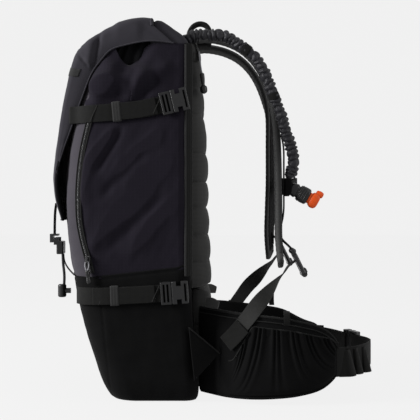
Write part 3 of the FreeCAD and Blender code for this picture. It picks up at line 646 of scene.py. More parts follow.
def shell(z, s, side):
    """The bag's outline: s runs 0 front middle, 1 corner, 2 side, 3 rear corner, 4 rear, 5 rear middle."""
    z, s = np.broadcast_arrays(np.asarray(z, float), np.asarray(s, float))
    front, rear, half = [hermite(RING_Z, col, z) for col in (RING_FRONT, RING_REAR, RING_HALF)]
    part = np.clip(s, 0, 5)
    k = np.minimum(part.astype(int), 4)
    t = part - k
    cx, cy = front + BOW + CORNER, half - CORNER
    rx, ry = rear - REAR_CORNER, half - REAR_CORNER
    turn = t * math.pi / 2
    x = np.choose(k, [front + BOW * t**2, cx - CORNER * np.cos(turn), cx + (rx - cx) * t,
                      rx + REAR_CORNER * np.sin(turn), rear + 0 * t])
    y = np.choose(k, [cy * t, cy + CORNER * np.sin(turn), half + 0 * t, ry + REAR_CORNER * np.cos(turn),
                      ry * (1 - t)])
    return np.stack([x, y * side, z], -1)


def s_at_x(x, z):
    """The place s on the bag's side where its x is the given one."""
    front, rear = hermite(RING_Z, RING_FRONT, z), hermite(RING_Z, RING_REAR, z)
    cx, rx = front + BOW + CORNER, rear - REAR_CORNER
    return 2 + (x - cx) / (rx - cx)


ZIP_Z = [100, 185, 204, 243, 262, 297, 345, 380, 411, 440, 560]
ZIP_ANGLE = [14, 14, 16, 23, 26, 27, 26, 24, 21, 20, 20]


def zip_s(z):
    """The side zip's line: its angle round the corner from the side."""
    return 2 - hermite(ZIP_Z, ZIP_ANGLE, z) / 90.0


SIDE_FOLDS_RIGHT = [
    # pulled cloth between the strap's keeper and the zip, and the long slack lines below
    ((-62, 398), (-98, 350), 7.0, 5.2), ((-46, 404), (-84, 340), 6.0, -4.0), ((-98, 350), (-110, 290), 9.0, 3.2),
    ((10, 400), (-60, 330), 10.0, 3.2), ((24, 360), (-60, 262), 12.0, 3.0), ((-10, 372), (-80, 300), 8.0, -3.0),
    ((28, 300), (-40, 215), 10.0, 3.2), ((10, 300), (-70, 225), 8.0, -3.0), ((-40, 300), (-95, 225), 9.0, 3.0),
    ((22, 496), (-20, 470), 11.0, 5.0), ((-20, 470), (-36, 440), 9.0, 4.0), ((-36, 446), (-58, 428), 7.0, 3.4),
    ((4, 476), (-22, 446), 8.0, -4.0), ((-60, 500), (-84, 452), 13.0, 7.0), ((-44, 492), (-58, 444), 10.0, -5.0),
    ((-28, 490), (-40, 462), 8.0, -4.0), ((30, 452), (-12, 446), 9.0, 2.0),
]
SIDE_FOLDS_LEFT = [
    ((-60, 400), (-100, 345), 8.0, 3.6), ((-40, 402), (-80, 330), 7.0, -2.4), ((16, 410), (-56, 322), 12.0, 2.4),
    ((26, 350), (-50, 255), 14.0, 2.0), ((20, 292), (-52, 212), 13.0, 2.0), ((-10, 380), (-90, 296), 10.0, -1.8),
    ((20, 500), (-24, 466), 12.0, 5.0), ((-56, 502), (-86, 450), 13.0, 6.0), ((-30, 492), (-48, 440), 9.0, -4.0),
]


def side_top(x):
    """Height of the side cloth's upper edge: it dips to a gathered pocket below the lid's edge."""
    dip = 33 * np.exp(-((x + 38) / 17.0) ** 2)
    return 528 - dip - 10 * ramp(-x, 60, 100)


SIDE_END = 3.42         # where the side panel meets the rear gusset, on the rear corner


def side_panel(side, folds, seed):
    t = tall(0, 1, 190)
    across = wide(0, 1, 110)
    z = SIDE_FOOT + t * (SIDE_HEAD - SIDE_FOOT) + 0 * across
    for _ in range(3):
        start = zip_s(z) - 0.75 * ramp(z, 412, 478)
        s = start + across * (SIDE_END - start)
        x = shell(z, s, side)[..., 0]
        z = SIDE_FOOT + t * (side_top(x) - SIDE_FOOT)
    grid = shell(z, s, side)
    out = normals_toward(grid, 1, side)
    x, zz = grid[..., 0], grid[..., 2]
    lift = sum(fold(x, zz, *f) for f in folds)
    lift = lift + 1.3 * waves(x, zz * 0.6, 60, seed) + 0.5 * waves(x * 1.4, zz, 22, seed + 1)
    edge = ramp(across, 0, 0.07) * ramp(1 - across, 0, 0.05) * ramp(t, 0.02, 0.10)
    lift = lift * edge
    roll = np.exp(-((zz - 468 - 0.25 * (x + 60)) / 17.0) ** 2) * ramp(x, -104, -80) * (1 - ramp(x, -28, 4))
    lift = lift + 14.0 * roll - 6.0 * np.exp(-((x + 101) / 9.0) ** 2) * ramp(zz, 436, 452)
    lift = lift + 3.0 * np.sin(np.pi * across) * ramp(t, 0, 0.3) * (1 - 0.6 * ramp(t, 0.6, 1.0))
    strap = np.exp(-((zz - (424 + 0.13 * (x + 72))) / 15.0) ** 2) * ramp(x, -118, -90)
    lift = lift * (1 - 0.85 * strap) - 0.8 * strap
    buckle = np.exp(-((zz - 167) / 26.0) ** 2)
    lift = lift * (1 - 0.6 * buckle)
    tuck = np.exp(-((x + 28 - 0.35 * (zz - 512)) / 13.0) ** 2) * ramp(zz, 486, 514)
    lift = lift - 15 * tuck
    lift = np.minimum(lift, SIDE_REACH - hermite(RING_Z, RING_HALF, zz) + 3.0 + 3.0 * ramp(zz, 430, 480))
    return grid + out * lift[..., None]


right_side = side_panel(RIGHT, SIDE_FOLDS_RIGHT, 3)
left_side = side_panel(LEFT, SIDE_FOLDS_LEFT, 5)
side_right = panel("side_panel_right", right_side, M_SIDE, "pack", CLOTH, (0, -FAR, 350))
panel("side_panel_left", left_side, M_SIDE, "pack", CLOTH, (0, FAR, 350))
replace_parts(side_right, "side_panels")


def front_cloth():
    share = wide(-1, 1, 120)
    z = tall(SIDE_FOOT, FRONT_HEAD, 150) + 0 * share
    s = np.abs(share) * zip_s(z)
    grid = np.where((share < 0)[..., None], shell(z, s, RIGHT), shell(z, s, LEFT))
    out = normals_toward(grid, 0, -1)
    y, zz = grid[..., 1], grid[..., 2]
    lift = 1.6 * waves(y * 1.2, zz * 0.7, 70, 21) + 0.5 * waves(y, zz, 20, 22)
    lift = lift + fold(y, zz, (-70, 420), (-20, 300), 14, 2.4) + fold(y, zz, (80, 430), (30, 310), 14, 2.2)
    lift = lift + fold(y, zz, (0, 250), (60, 196), 12, 1.6) + fold(y, zz, (-10, 250), (-70, 200), 12, 1.6)
    lift = lift * (1 - ramp(np.abs(share), 0.9, 1.0)) - 3.0 * ramp(zz, 418, 432) * ramp(np.abs(share), 0.25,
                                                                                        0.45)
    return grid + out * lift[..., None]


front = panel("front_panel_cloth", front_cloth(), M_FRONT, "pack", CLOTH, (-FAR, 0, 350))
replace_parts(front, "front_panel")


def boot_cloth(side):
    s = wide(0, 5, 150)
    top = 186 + 17 * np.clip((s - 1.9) / 1.3, 0, 1)
    z = 0.6 + tall(0, 1, 90) * (top - 0.6)
    grid = shell(z, s + 0 * z, side)
    out = normals_toward(grid, 1, side)
    a = np.where(s < 1.5, grid[..., 1], grid[..., 0])
    lift = 0.9 * waves(a, z, 55, 31) + 0.3 * waves(a, z, 18, 32)
    lift = lift + 1.3 * ramp(z, 12, 60) * np.sin(np.pi * np.clip((s - 1.9) / 1.2, 0, 1))
    lift = lift + 0.6 - 1.3 * np.exp(-((z - top + 5) / 1.4) ** 2)
    seam = s_at_x(-79.0 + (185 - z) * -0.02, z)
    lift = lift - 1.1 * np.exp(-((s - seam) / 0.018) ** 2)
    lift = lift * (1 - ramp(s, 4.0, 4.3)) * ramp(z, 1, 12)
    return grid + out * lift[..., None]


for side, word in SIDES:
    obj = panel("boot_" + word, boot_cloth(side), M_BOOT, "pack", CLOTH, (0, side * FAR, 90))
    if side == RIGHT:
        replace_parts(obj, "boot")


def base_cloth():
    """The flat underside, rolled up a little round its edge."""
    s = np.linspace(0, 5, 60)
    loop = np.concatenate([shell(0.0 * s, s, RIGHT), shell(0.0 * s, s, LEFT)[::-1][1:-1]])
    rings = []
    for share, z in ((1.0, 0.6), (0.985, 0.15), (0.95, 0.0), (0.7, 0.0), (0.4, 0.0), (0.15, 0.0)):
        ring = loop * share
        ring[:, 2] = z
        rings.append(ring)
    return closed_form("base_cloth", rings[::-1] + [rings[0] + (0, 0, 2.4), rings[3] + (0, 0, 2.4)], M_BOOT,
                       "pack")


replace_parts(base_cloth(), "base_panel")


def gusset(side):
    share = wide(0, 1, 44)
    z = tall(GUSSET_FOOT, GUSSET_HEAD, 160) + 0 * share
    s = SIDE_END - 0.05 + share * (4.40 - SIDE_END)
    grid = shell(z, s, side)
    out = normals_toward(grid, 1, side)
    lift = 1.1 + 0.35 * waves(share * 40, z, 45, 41) - 0.7 * np.exp(-((share - 0.30) / 0.03) ** 2)
    return grid + out * lift[..., None]


for side, word in SIDES:
    obj = panel("gusset_" + word, gusset(side), M_GUSSET, "pack", CLOTH, (20, side * FAR, 300))
    if side == RIGHT:
        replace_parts(obj, "rear_gussets")
    z = np.linspace(GUSSET_FOOT + 1, GUSSET_HEAD - 2, 30)
    line = shell(z, SIDE_END - 0.03 + 0 * z, side) + (0.5, side * 1.2, 0)
    pipe("gusset_piping_" + word, line, 1.6, M_BIND)
    line = shell(z, 3.97 + 0 * z, side) + (1.6, side * 0.6, 0)
    pipe("rear_piping_" + word, line, 1.5, M_BIND)


def back_cloth():
    z = tall(4, 505, 40)
    y = wide(-110, 110, 30)
    rear = hermite(RING_Z, RING_REAR, z) + 0 * y
    x = rear - 0.3 + 0.4 * waves(y + 0 * z, z + 0 * y, 60, 51)
    return np.stack([x, y + 0 * z, z + 0 * y], -1)


back = panel("back_cloth", back_cloth(), M_GUSSET, "pack", CLOTH, (FAR, 0, 300))
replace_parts(back, "back_wall")


def airbag_cover():
    outline = smooth_outline([(-11.5, 500), (-10.5, 525), (-8.5, 545), (-5.5, 560), (0, 565.5), (7, 565.3),
                              (16, 560.5), (28, 552), (40, 543.5), (48.5, 533), (51.8, 520), (52, 500)], 60)
    centre = np.array([20.0, 520.0])
    sections = []
    for w in np.sin(np.linspace(-1, 1, 90) * math.pi / 2):
        size = (1 - min(abs(w), 0.9999) ** 16) ** (1 / 5)
        loop = centre + (outline - centre) * (0.2 + 0.8 * size)
        y = 130.3 * w
        puff = 1.2 * waves(loop[:, 0] + 0 * y, loop[:, 1] * 0 + y, 60, 61) * size
        top = ramp(loop[:, 1], 520, 560)
        loop = loop + np.stack([0 * puff, puff * top * 0.8 - 0.6 * top], 1)
        sections.append(np.stack([loop[:, 0], 0 * loop[:, 0] + y, loop[:, 1]], 1))
    return closed_form("airbag_cover_cloth", sections, M_LID, "pack")


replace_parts(airbag_cover(), "airbag_cover")


def collar_cloth():
    """The gathered snow collar inside the mouth."""
    t = tall(0, 1, 40)
    share = wide(-1, 1, 300)
    z = 488 + t * 43 + 0 * share
    s = np.abs(share) * 2.62 + 0 * t
    grid = np.where((share < 0)[..., None], shell(z, s, RIGHT), shell(z, s, LEFT))
    out = normals_toward(grid, 0, -1)
    gather = np.sin(share * 95 + 2.0 * np.sin(share * 17)) * (1.2 + 1.6 * t)
    lift = -7.5 - 3.5 * t + gather
    return grid + out * lift[..., None]


collar = panel("collar_cloth", collar_cloth(), M_LINING, "pack", LIGHT_CLOTH,
               (-FAR, 0, 520))
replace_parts(collar, "collar")

# ---- lid ----
# along the middle: x, z, bow, corner radius, half width, then the side's lower edge x and z
LID = [
    (-5.0, 565.8, 0.6, 8.0, 134.0, 27.0, 528.0), (-17.0, 567.4, 1.4, 8.4, 134.1, 18.0, 529.4),
    (-53.0, 562.5, 4.0, 10.0, 134.5, -12.0, 531.0),
    (-84.0, 550.0, 5.0, 12.0, 134.5, -44.0, 525.0), (-112.0, 530.0, 6.0, 12.0, 134.0, -68.0, 516.0),
    (-126.0, 512.0, 7.0, 12.0, 133.0, -81.0, 501.0), (-134.0, 491.0, 8.0, 10.0, 132.0, -92.0, 486.0),
    (-143.0, 454.0, 9.0, 8.0, 130.5, -109.0, 444.0), (-152.0, 402.0, 10.0, 7.0, 128.5, -123.5, 404.0),
    (-159.0, 360.0, 11.0, 6.0, 125.5, -138.0, 364.0), (-162.5, 324.0, 12.0, 5.0, 121.5, -146.0, 329.0),
    (-159.0, 297.0, 11.5, 5.0, 114.5, -146.0, 301.0), (-151.0, 266.0, 9.5, 4.0, 100.0, -139.5, 267.0),
]


def lid_grid():
    rows = np.array(LID, float)
    at = along_line(rows[:, :2])
    count = 190
    fine = np.linspace(0, at[-1], count)
    rows = np.stack([hermite(at, rows[:, k], fine) for k in range(7)], 1)
    along = np.gradient(rows[:, :2], axis=0)
    along /= np.linalg.norm(along, axis=1, keepdims=True)
    inward = np.stack([-along[:, 1], along[:, 0]], 1)
    grid = []
    for i, (x, z, bow, radius, half, ex, ez) in enumerate(rows):
        top = np.array([x, z])
        foot = top + inward[i] * (bow + radius)
        half_row = []
        for t in np.linspace(0, 1, 16)[:-1]:
            xz = np.array([ex, ez]) * (1 - t) + foot * t
            half_row.append((xz[0], half + 0.8 * math.sin(math.pi * t), xz[1]))
        for t in np.linspace(0, 1, 9)[:-1]:
            a = t * math.pi / 2
            deep = bow + radius - radius * math.sin(a)
            xz = top + inward[i] * deep
            half_row.append((xz[0], half - radius + radius * math.cos(a), xz[1]))
        for t in np.linspace(1, 0, 26):
            y = (half - radius) * t
            xz = top + inward[i] * (bow * t**2)
            half_row.append((xz[0], y, xz[1]))
        half_row = np.array(half_row)
        other = half_row[:-1][::-1] * (1, -1, 1)
        grid.append(np.concatenate([half_row * (1, -1, 1), other * (1, -1, 1)]))
    grid = np.array(grid)
    share = fine / at[-1]
    return grid, share


def lid_cloth():
    grid, share = lid_grid()
    out = normals_toward(grid, 2, 1)
    x, y, z = grid[..., 0], grid[..., 1], grid[..., 2]
    along = share[:, None] * 420 + 0 * x
    lift = 1.5 * waves(along, y, 95, 71) + 0.5 * waves(along, y, 30, 72)
    flank = ramp(np.abs(y), 118, 130)
    lift = lift + flank * fold(x, z, (-81, 544), (-91, 490), 3.4, -3.6)
    lift = lift + flank * fold(x, z, (-93, 535), (-99, 496), 7.0, 3.2)
    lift = lift + flank * fold(x, z, (-113, 512), (-98, 494), 2.4, -2.2)
    lift = lift + flank * fold(x, z, (-60, 552), (-20, 548), 14.0, 2.6)
    lift = lift + fold(along, y, (60, -60), (150, -100), 16, 3.0) + fold(along, y, (60, 70), (150, 105), 16,
                                                                         3.0)
    lift = lift + fold(along, y, (130, -110), (131, 110), 2.0, -1.3)
    lift = lift * (1 - 0.6 * ramp(share[:, None], 0.93, 1.0))
    return grid + out * lift[..., None]


lid_points = lid_cloth()
lid = panel("lid_cloth", lid_points, M_LID, "lid", 2.2, (-200, 0, 1200))
lid.data.materials.append(M_LINING)
lid.modifiers["thick"].material_offset = 1
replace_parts(lid, "lid_flap")
for column, word in ((0, "right"), (-1, "left")):
    pipe("lid_hem_" + word, lid_points[::5, column], 1.2, M_LID, "lid")
pipe("lid_hem_front", lid_points[-1, ::4], 1.3, M_LID, "lid")
pipe("lid_rear_welt", lid_points[0, 14:-14:4] + (-0.4, 0, -1.6), 2.6, M_LID, "lid")


def lid_patch():
    """A blank woven patch on the lid's near front corner."""
    rows = [i for i in range(len(lid_points)) if 479 < lid_points[i, 20, 2] < 493]
    grid = lid_points[rows[0]:rows[-1] + 1, 11:26]
    out = normals_toward(grid, 0, -1)
    return grid + out * 0.7


panel("lid_patch", lid_patch(), M_BIND, "lid", LIGHT_CLOTH, (-FAR, -FAR, 480))

# ---- back pad and lumbar pad ----
PAD_NOTCH = [(535, 58.0), (505, 64.0), (466, 66.0), (426, 67.5), (368, 72.5), (325, 73.5), (286, 73.5),
             (244, 75.5), (204, 77.5), (165, 78.0)]


def quilted(name, zs, xs, half, low_x, bulge, columns, under=((0, 51.8), (600, 51.8))):
    """A pad whose rows of pillows meet at furrows, its edges rolled back to low_x; under is its back face."""
    order = np.argsort(zs)
    zs, xs = np.array(zs, float)[order], np.array(xs, float)[order]
    z = tall(zs[0], zs[-1], 260)
    y = wide(-half, half, 150)
    k = np.clip(np.searchsorted(zs, z[:, 0]) - 1, 0, len(zs) - 2)
    phase = ((z[:, 0] - zs[k]) / (zs[k + 1] - zs[k]))[:, None]
    base = np.interp(z[:, 0], zs, xs)[:, None]
    rows = np.abs(np.sin(np.pi * phase)) ** 0.42
    cols = np.abs(np.cos(np.pi * columns * y / (2 * half))) ** 0.4 * 0.45 + 0.55
    edge = np.clip(1 - (np.abs(y) / half) ** 9, 0, 1) ** 0.45
    ends = np.clip(np.minimum(z - zs[0], zs[-1] - z) / 7.0, 0, 1) ** 0.5
    x = low_x + (base - low_x + bulge * rows * cols) * edge * (0.25 + 0.75 * ends)
    x = x + 0.35 * waves(y + 0 * z, z + 0 * y, 26, 81)
    x[:, 0] = x[:, -1] = low_x
    x[0] = x[-1] = low_x
    swell = 1 + 0.060 * (rows - 0.78) * np.abs(y / half) ** 5
    grid = np.stack([x, y * swell, z + 0 * y], -1)
    nu, nv = grid.shape[:2]
    flat = grid.copy()
    flat[..., 0] = np.interp(grid[..., 2], *zip(*under))
    verts = np.concatenate([grid.reshape(-1, 3), flat.reshape(-1, 3)])
    faces = quads(nu, nv) + [tuple(reversed(f)) for f in quads(nu, nv, start=nu * nv)]
    for line in ([i * nv for i in range(nu)], [i * nv + nv - 1 for i in range(nu)], list(range(nv)),
                 list(range((nu - 1) * nv, nu * nv))):
        for a, b in zip(line, line[1:]):
            faces.append((a, b, b + nu * nv, a + nu * nv))
    return recalc(add_mesh(name, verts, faces, M_PAD, "pack"))


back_pad = quilted("quilted_back_pad", *zip(*PAD_NOTCH), 105, 52.6, 6.0, 3)
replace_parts(back_pad, "back_pad")
for side, word in SIDES:
    pipe("pad_edge_" + word, [(53.5, side * 104.6, z) for z in np.linspace(166, 528, 14)], 1.5, M_BIND)
lumbar = quilted("lumbar_pad_cover", [14, 60, 108, 162], [79, 84, 84, 79], 83.5, 66.5, 3.0, 2,
                 ((12, 63.2), (60, 60.8), (120, 55.8), (157, 54.0), (165, 53.6)))
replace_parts(lumbar, "lumbar_pad")

# ---- hip wings ----
# along the wing: x, y, lower and upper edge
WING = [(67, -86.5, 10, 137), (88, -108, 9, 136), (110, -127, 8, 134), (140, -141, 8, 131),
        (175, -148, 10, 128), (210, -147.5, 14, 122), (245, -138, 24, 110), (268, -124, 42, 88)]
LEFT_DROP = [10, 11, 12, 14, 16, 17, 22, 6]     # the far wing sags a little under its own weight


def wing_rows(count, side):
    rows = np.array(WING, float)
    if side == LEFT:
        rows[:, 3] -= LEFT_DROP
    plan = np.concatenate([rows[:, :2], 0 * rows[:, :1], rows[:, 2:]], 1)
    fine = smooth_rows(plan, count)
    low, high = fine[:, 3], fine[:, 4]
    t = np.linspace(0, 1, count)
    close = ramp(t, 0.955, 1.0)
    mid = (low + high) / 2
    half = (high - low) / 2 * np.sqrt(np.clip(1 - 0.25 * close, 0, 1))
    tangent = np.gradient(fine[:, :2], axis=0)
    tangent /= np.linalg.norm(tangent, axis=1, keepdims=True)
    out = np.stack([tangent[:, 1], -tangent[:, 0]], 1)
    return t, fine[:, :2], out, mid, half


def wing(side, word):
    t, plan, out, mid, half = wing_rows(110, side)
    shape = oval(64, 4.5)
    sections = []
    for i in range(len(t)):
        thick = 7.4 * (1 - 0.35 * ramp(t[i], 0.9, 1.0)) * (0.35 + 0.65 * ramp(t[i], -0.02, 0.05))
        z = mid[i] + half[i] * shape[:, 0]
        puff = 0.7 * waves(t[i] * 220 + 0 * z, z, 40, 91)
        d = (thick + puff) * shape[:, 1]
        sections.append(np.stack([plan[i, 0] + out[i, 0] * d, plan[i, 1] + out[i, 1] * d, z], 1) * (1, -side,
                                                                                                    1))
    obj = closed_form("hip_wing_" + word, sections, M_STRETCH, "pack")
    top, foot, welt = [], [], []
    for i in range(3, len(t) - 1, 3):
        for line, away, z in ((top, 5, mid[i] + half[i] - 1.0), (foot, 5, mid[i] - half[i] + 1.0),
                              (welt, 7.6, mid[i] + half[i] - 8.0)):
            x, y = plan[i] + out[i] * away
            line.append((x, y * -side, z))
    end = (plan[-1, 0], plan[-1, 1] * -side, mid[-1] + half[-1] - 4)
    pipe("wing_piping_top_" + word, top + [end], 1.7, M_GUSSET)
    pipe("wing_piping_foot_" + word, foot, 1.5, M_STRETCH)
    pipe("wing_welt_" + word, welt, 0.8, M_GUSSET)
    return obj


def wing_pocket(side, word):
    """The stretch pocket on the wing's outer face, gathered under its hem."""
    t, plan, out, mid, half = wing_rows(300, side)
    pick = (t > 0.27) & (t < 0.975)
    t, plan, out, mid, half = t[pick], plan[pick], out[pick], mid[pick], half[pick]
    w = wide(0, 1, 60)
    hem = np.interp(plan[:, 0], [118, 144, 200, 266], [62, 114, 108, 92])[:, None]
    low = (mid - half)[:, None] + 5.0
    hem = np.minimum(hem, (mid + half)[:, None] - 6)
    z = low + (hem - low) * w
    share = tall(0, 1, len(t))
    lean = share * 118 - (1 - w) ** 1.3 * (share - 0.42) * 74
    gather = np.sin(lean + 1.9 * np.sin(lean * 0.37)) * (0.25 + 1.9 * w**1.4)
    sag = 2.6 * np.sin(np.pi * np.clip(w * 1.1, 0, 1)) ** 0.7
    edge = ramp(share, 0, 0.16) * ramp(1 - share, 0, 0.05) * ramp(w, 0, 0.08)
    d = 7.0 + (1.2 + sag + gather + 0.5 * waves(share * 160 + 0 * w, z, 26, 95)) * edge
    grid = np.stack([plan[:, :1] + out[:, :1] * d, (plan[:, 1:] + out[:, 1:] * d) * -side, z], -1)
    panel("wing_pocket_" + word, grid, M_STRETCH, "pack", LIGHT_CLOTH,
          (180, side * FAR, 70))
    pipe("pocket_hem_" + word, grid[::8, -1], 1.1, M_GUSSET)


for side, word in SIDES:
    made = wing(side, word)
    wing_pocket(side, word)
    if side == RIGHT:
        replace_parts(made, "hip_wings")


def hip_details(side, word):
    """Gear loop, rounded root tab and the triangle of cloth that joins the wing to the boot."""
    loop = [(191.5, 149.5, 113, 9), (191.5, 155.5, 117, 9), (191.5, 158.0, 125, 9), (191.5, 156.0, 132, 9),
            (191.5, 149.0, 136, 9)]
    band("gear_loop_" + word, [(x, side * y, z, w) for x, y, z, w in loop], (1, 0, 0))
    tab = [(76, 108.5, 145, 15), (84, 115.5, 144.5, 16), (93, 121.5, 142, 12)]
    band("root_tab_" + word, [(x, side * y, z, w) for x, y, z, w in tab], UPRIGHT, 4.5, M_PAD, power=3.0)
    high, near, low = [np.array(p) * (1, side, 1)
                       for p in ((50, 145.5, 112), (95, 127.0, 72), (58, 143.0, 34))]
    a = np.linspace(0, 1, 24)[:, None, None]
    b = np.linspace(0, 1, 24)[None, :, None]
    grid = (high * (1 - b) + low * b) * (1 - a) + near * a
    sag = 3.0 * np.sin(np.pi * a) * np.sin(np.pi * b)
    grid = grid + sag * np.array((0, -side * 0.6, 0))
    panel("stabiliser_" + word, grid, M_BOOT, "pack", 1.6, (70, side * FAR, 70))
    pipe("stabiliser_edge_" + word,
         [high + (0, side, 0), (high + near) / 2 + (0, side * 0.6, 0), near + (0, side, 0)], 1.0, M_GUSSET)


for side, word in SIDES:
    hip_details(side, word)

# ---- yoke, haul loop and shoulder straps ----


def yoke():
    sections = []
    shape = oval(40, 3.2)
    for y in np.linspace(-90, 90, 60):
        end = (1 - (abs(y) / 90.5) ** 10) ** 0.5
        puff = 1 + 0.03 * math.sin(y * 0.21)
        sections.append(np.stack([56.2 + shape[:, 0] * 6.4 * end * puff, np.full(40, y),
                                  544 + shape[:, 1] * 9.2 * end], 1))
    bar = closed_form("yoke_bar", sections, M_GUSSET, "pack")
    band("yoke_tongue", [(58, 0, 545.5, 53), (70, 0, 545.5, 53), (78, 0, 545.2, 50), (84, 0, 544.5, 40)],
         ACROSS, 12, M_GUSSET, "pack", "boot_fabric", power=3.5)
    return bar


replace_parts(yoke(), "harness_yoke")
HAUL = [(45, 540), (47, 556), (50.5, 568), (57, 575.5), (66, 578.5), (75, 576), (81, 568), (82, 558),
        (81.6, 551.3)]
haul = band("haul_loop_cover", [(x, 0, z, 22) for x, z in HAUL], ACROSS, 7.6, power=3.0)
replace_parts(haul, "haul_loop")

# along the shoulder strap: x, y, z, width
STRAP = [(63, -58, 545.5, 56), (75, -58, 546.5, 56), (92, -58, 544.5, 56), (110, -58.5, 539.5, 56),
         (128, -59, 530.5, 56), (144, -60, 517, 56), (158, -61, 498, 56), (167.5, -62, 478, 57),
         (174, -62, 458, 54), (178.5, -62.5, 438, 54), (181.5, -64, 418, 54), (183.5, -67, 388, 54),
         (184.5, -77, 326, 56), (184, -89, 281, 56), (183.5, -101, 242, 50), (184.5, -109, 222, 44),
         (186, -117, 203, 38)]


def strap_line(offset, across_by, rows):
    """A line over the strap: offset out of its middle and across_by of its half width to the side."""
    fine = smooth_rows(rows, 120)
    _, across, out = frames_along(fine[:, :3], fine[:, 4:7] if fine.shape[1] > 4 else ACROSS)
    return fine[:, :3] + out * offset + across * (across_by * fine[:, 3:4] / 2)


def far_turn(z):
    """The wearer's left strap hangs turned a little: its width direction at a height."""
    lean = 0.27 * ramp(-z, -470, -390)
    return lean, math.sqrt(1 - lean**2), 0.0


for side, word in SIDES:
    rows = STRAP if side == RIGHT else flipped(STRAP)
    if side == LEFT:
        rows = [(*row, *far_turn(row[2])) for row in rows]
    obj = band("shoulder_strap_" + word, rows, ACROSS, 8.4, M_PAD, "pack", "pad_fabric", 170, 4.0, 40, 0.2)
    if side == RIGHT:
        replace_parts(obj, "shoulder_straps")
    for edge, name in ((-0.985, "a"), (0.985, "b")):
        pipe("strap_binding_%s_%s" % (name, word), strap_line(0.6, edge, rows)[::4], 2.1, M_BIND)
    face = smooth_rows(rows, 90)
    ways = face[:, 4:7] if side == LEFT else np.tile((0.0, 1.0, 0.0), (90, 1))
    _, _, out = frames_along(face[:, :3], ways)
    shelf = np.concatenate([face[:, :3] + out * 3.9, face[:, 3:4] - 9, ways], 1)[4:-3]
    band("strap_face_" + word, shelf, ACROSS, 1.6, M_STRETCH, "pack", "boot_fabric", 120)
    runner = np.concatenate([face[:, :3] + out * 5.0, face[:, 3:4] * 0 + 15, ways], 1)[22:46]
    band("strap_runner_" + word, runner, ACROSS, 1.4, count=90)
    pad_end = [(184.5, -107, 244, 25), (190, -110, 237, 25), (196.5, -114, 230.5, 25),
               (202.5, -117, 224.5, 25)]
    band("strap_end_" + word, pad_end if side == RIGHT else flipped(pad_end), ACROSS, 3.0)

# ---- webbing ----
# the lower webbing's line, and how far it has turned about itself at each point
LOWER_WEB = [(114, -138, 98), (126, -143.6, 114), (138, -149, 130), (150, -147.5, 146), (163, -140.5, 160),
             (177, -131, 175), (189.5, -122, 189), (198.5, -117, 201), (207, -117, 207.5)]
LOWER_TURN = [0, 0, 2, 18, 42, 65, 85, 90, 90]


def lower_rows():
    points = np.array(LOWER_WEB, float)
    rows = []
    for i, angle in enumerate(LOWER_TURN):
        along = points[min(i + 1, len(points) - 1)] - points[max(i - 1, 0)]
        flat = np.cross((0.423, 0.906, 0), along)
        flat /= np.linalg.norm(flat)
        turn = math.radians(angle)
        way = flat * math.cos(turn) + Y_AXIS * math.sin(turn)
        rows.append((*points[i], 23.0, *way))
    return rows


lower, _ = both(band, "lower_webbing", lower_rows(), None, 1.6, M_WEB_LIGHT, count=90)
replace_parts(lower, "lower_webbing")
WING_ALONG = (0.55, -0.30, -0.78)       # across the sewn patch, along the wing's face
both(band, "wing_patch", [(103.5, -136.6, 87, 26), (114, -141.2, 98, 26), (127.5, -147.6, 114.5, 26)],
     WING_ALONG, 1.8)

STRAP_WIDE, TAIL_WIDE, CHEST_WIDE, BELT_WIDE = 25, 24.6, 20, 38
STERNUM_WEB = with_width([(202.4, -66, 318), (206, -58, 318), (210.5, -50, 318), (213, -43, 318),
                          (213, -2, 318)], CHEST_WIDE)
sternum = band("sternum_webbing_right", STERNUM_WEB, UPRIGHT, body=None)
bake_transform(sternum)
band("sternum_webbing_left", flipped(STERNUM_WEB[:-1]) + [(213, 26, 318, CHEST_WIDE)], UPRIGHT,
     body="sternum")
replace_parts(sternum, "sternum_webbing")

BELT_RIGHT = [(269, -123.2), (292, -108), (314, -82), (328, -52), (333, -30), (332.2, -18), (312.5, 34)]
BELT_LEFT = [(305.4, 48), (300.4, 61), (292.5, 82), (281.5, 104), (269, 123.2)]
BELT_TAIL = [(271, -130.5), (278, -129), (286, -127), (292, -120), (289, -109), (292, -103), (300, -106),
             (306, -100), (302, -90), (306, -84), (314, -87), (321, -81), (318, -70), (321, -62)]
belt = band("belt_webbing_right", [(x, y, 60, BELT_WIDE) for x, y in BELT_RIGHT], UPRIGHT, body=None)
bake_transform(belt)
band("belt_webbing_left", [(x, y, 60, BELT_WIDE) for x, y in BELT_LEFT], UPRIGHT)
band("belt_tail", [(x, y, 57 - i * 0.1, 39) for i, (x, y) in enumerate(BELT_TAIL)],
     (-0.26, 0, 0.966), 1.7, count=110)
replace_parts(belt, "belt_webbing")
both(band, "belt_patch", [(266, -133, 59, 42), (273, -130.5, 59, 42), (279.5, -127, 59, 42)],
     UPRIGHT, 2.0, M_GUSSET, power=6.0)

UPPER_STRAP = with_width([(-126, -130.9, 422), (-116, -134.6, 422), (-104, -143.2, 422.5),
                          (-90, -148.9, 423.2), (-72, -150.4, 424.3), (-40, -150.4, 427),
                          (-14, -150.4, 430.3), (22, -150.4, 438.9)], STRAP_WIDE)
LOWER_STRAP = with_width([(-116, -118.6, 157), (-108, -134.2, 157.3), (-95, -144.4, 157.6),
                          (-78, -148.8, 158), (-50, -149.8, 159), (-20, -150.2, 160.3), (22, -150.4, 163.2)],
                         STRAP_WIDE)
UPPER_TAIL = with_width([(-60, -152.6, 425.6), (-40, -153.0, 427.2), (-18, -152.8, 430.0),
                         (3, -152.4, 434.6)], TAIL_WIDE)
LOWER_TAIL = with_width([(-90, -148.4, 157.6), (-76, -151.2, 158.0), (-50, -152.2, 159), (-24, -152.0, 160.2),
                         (1, -152.0, 162.0)], TAIL_WIDE)
upper, _ = both(band, "upper_strap", UPPER_STRAP, UPRIGHT, 1.7, body="lid")
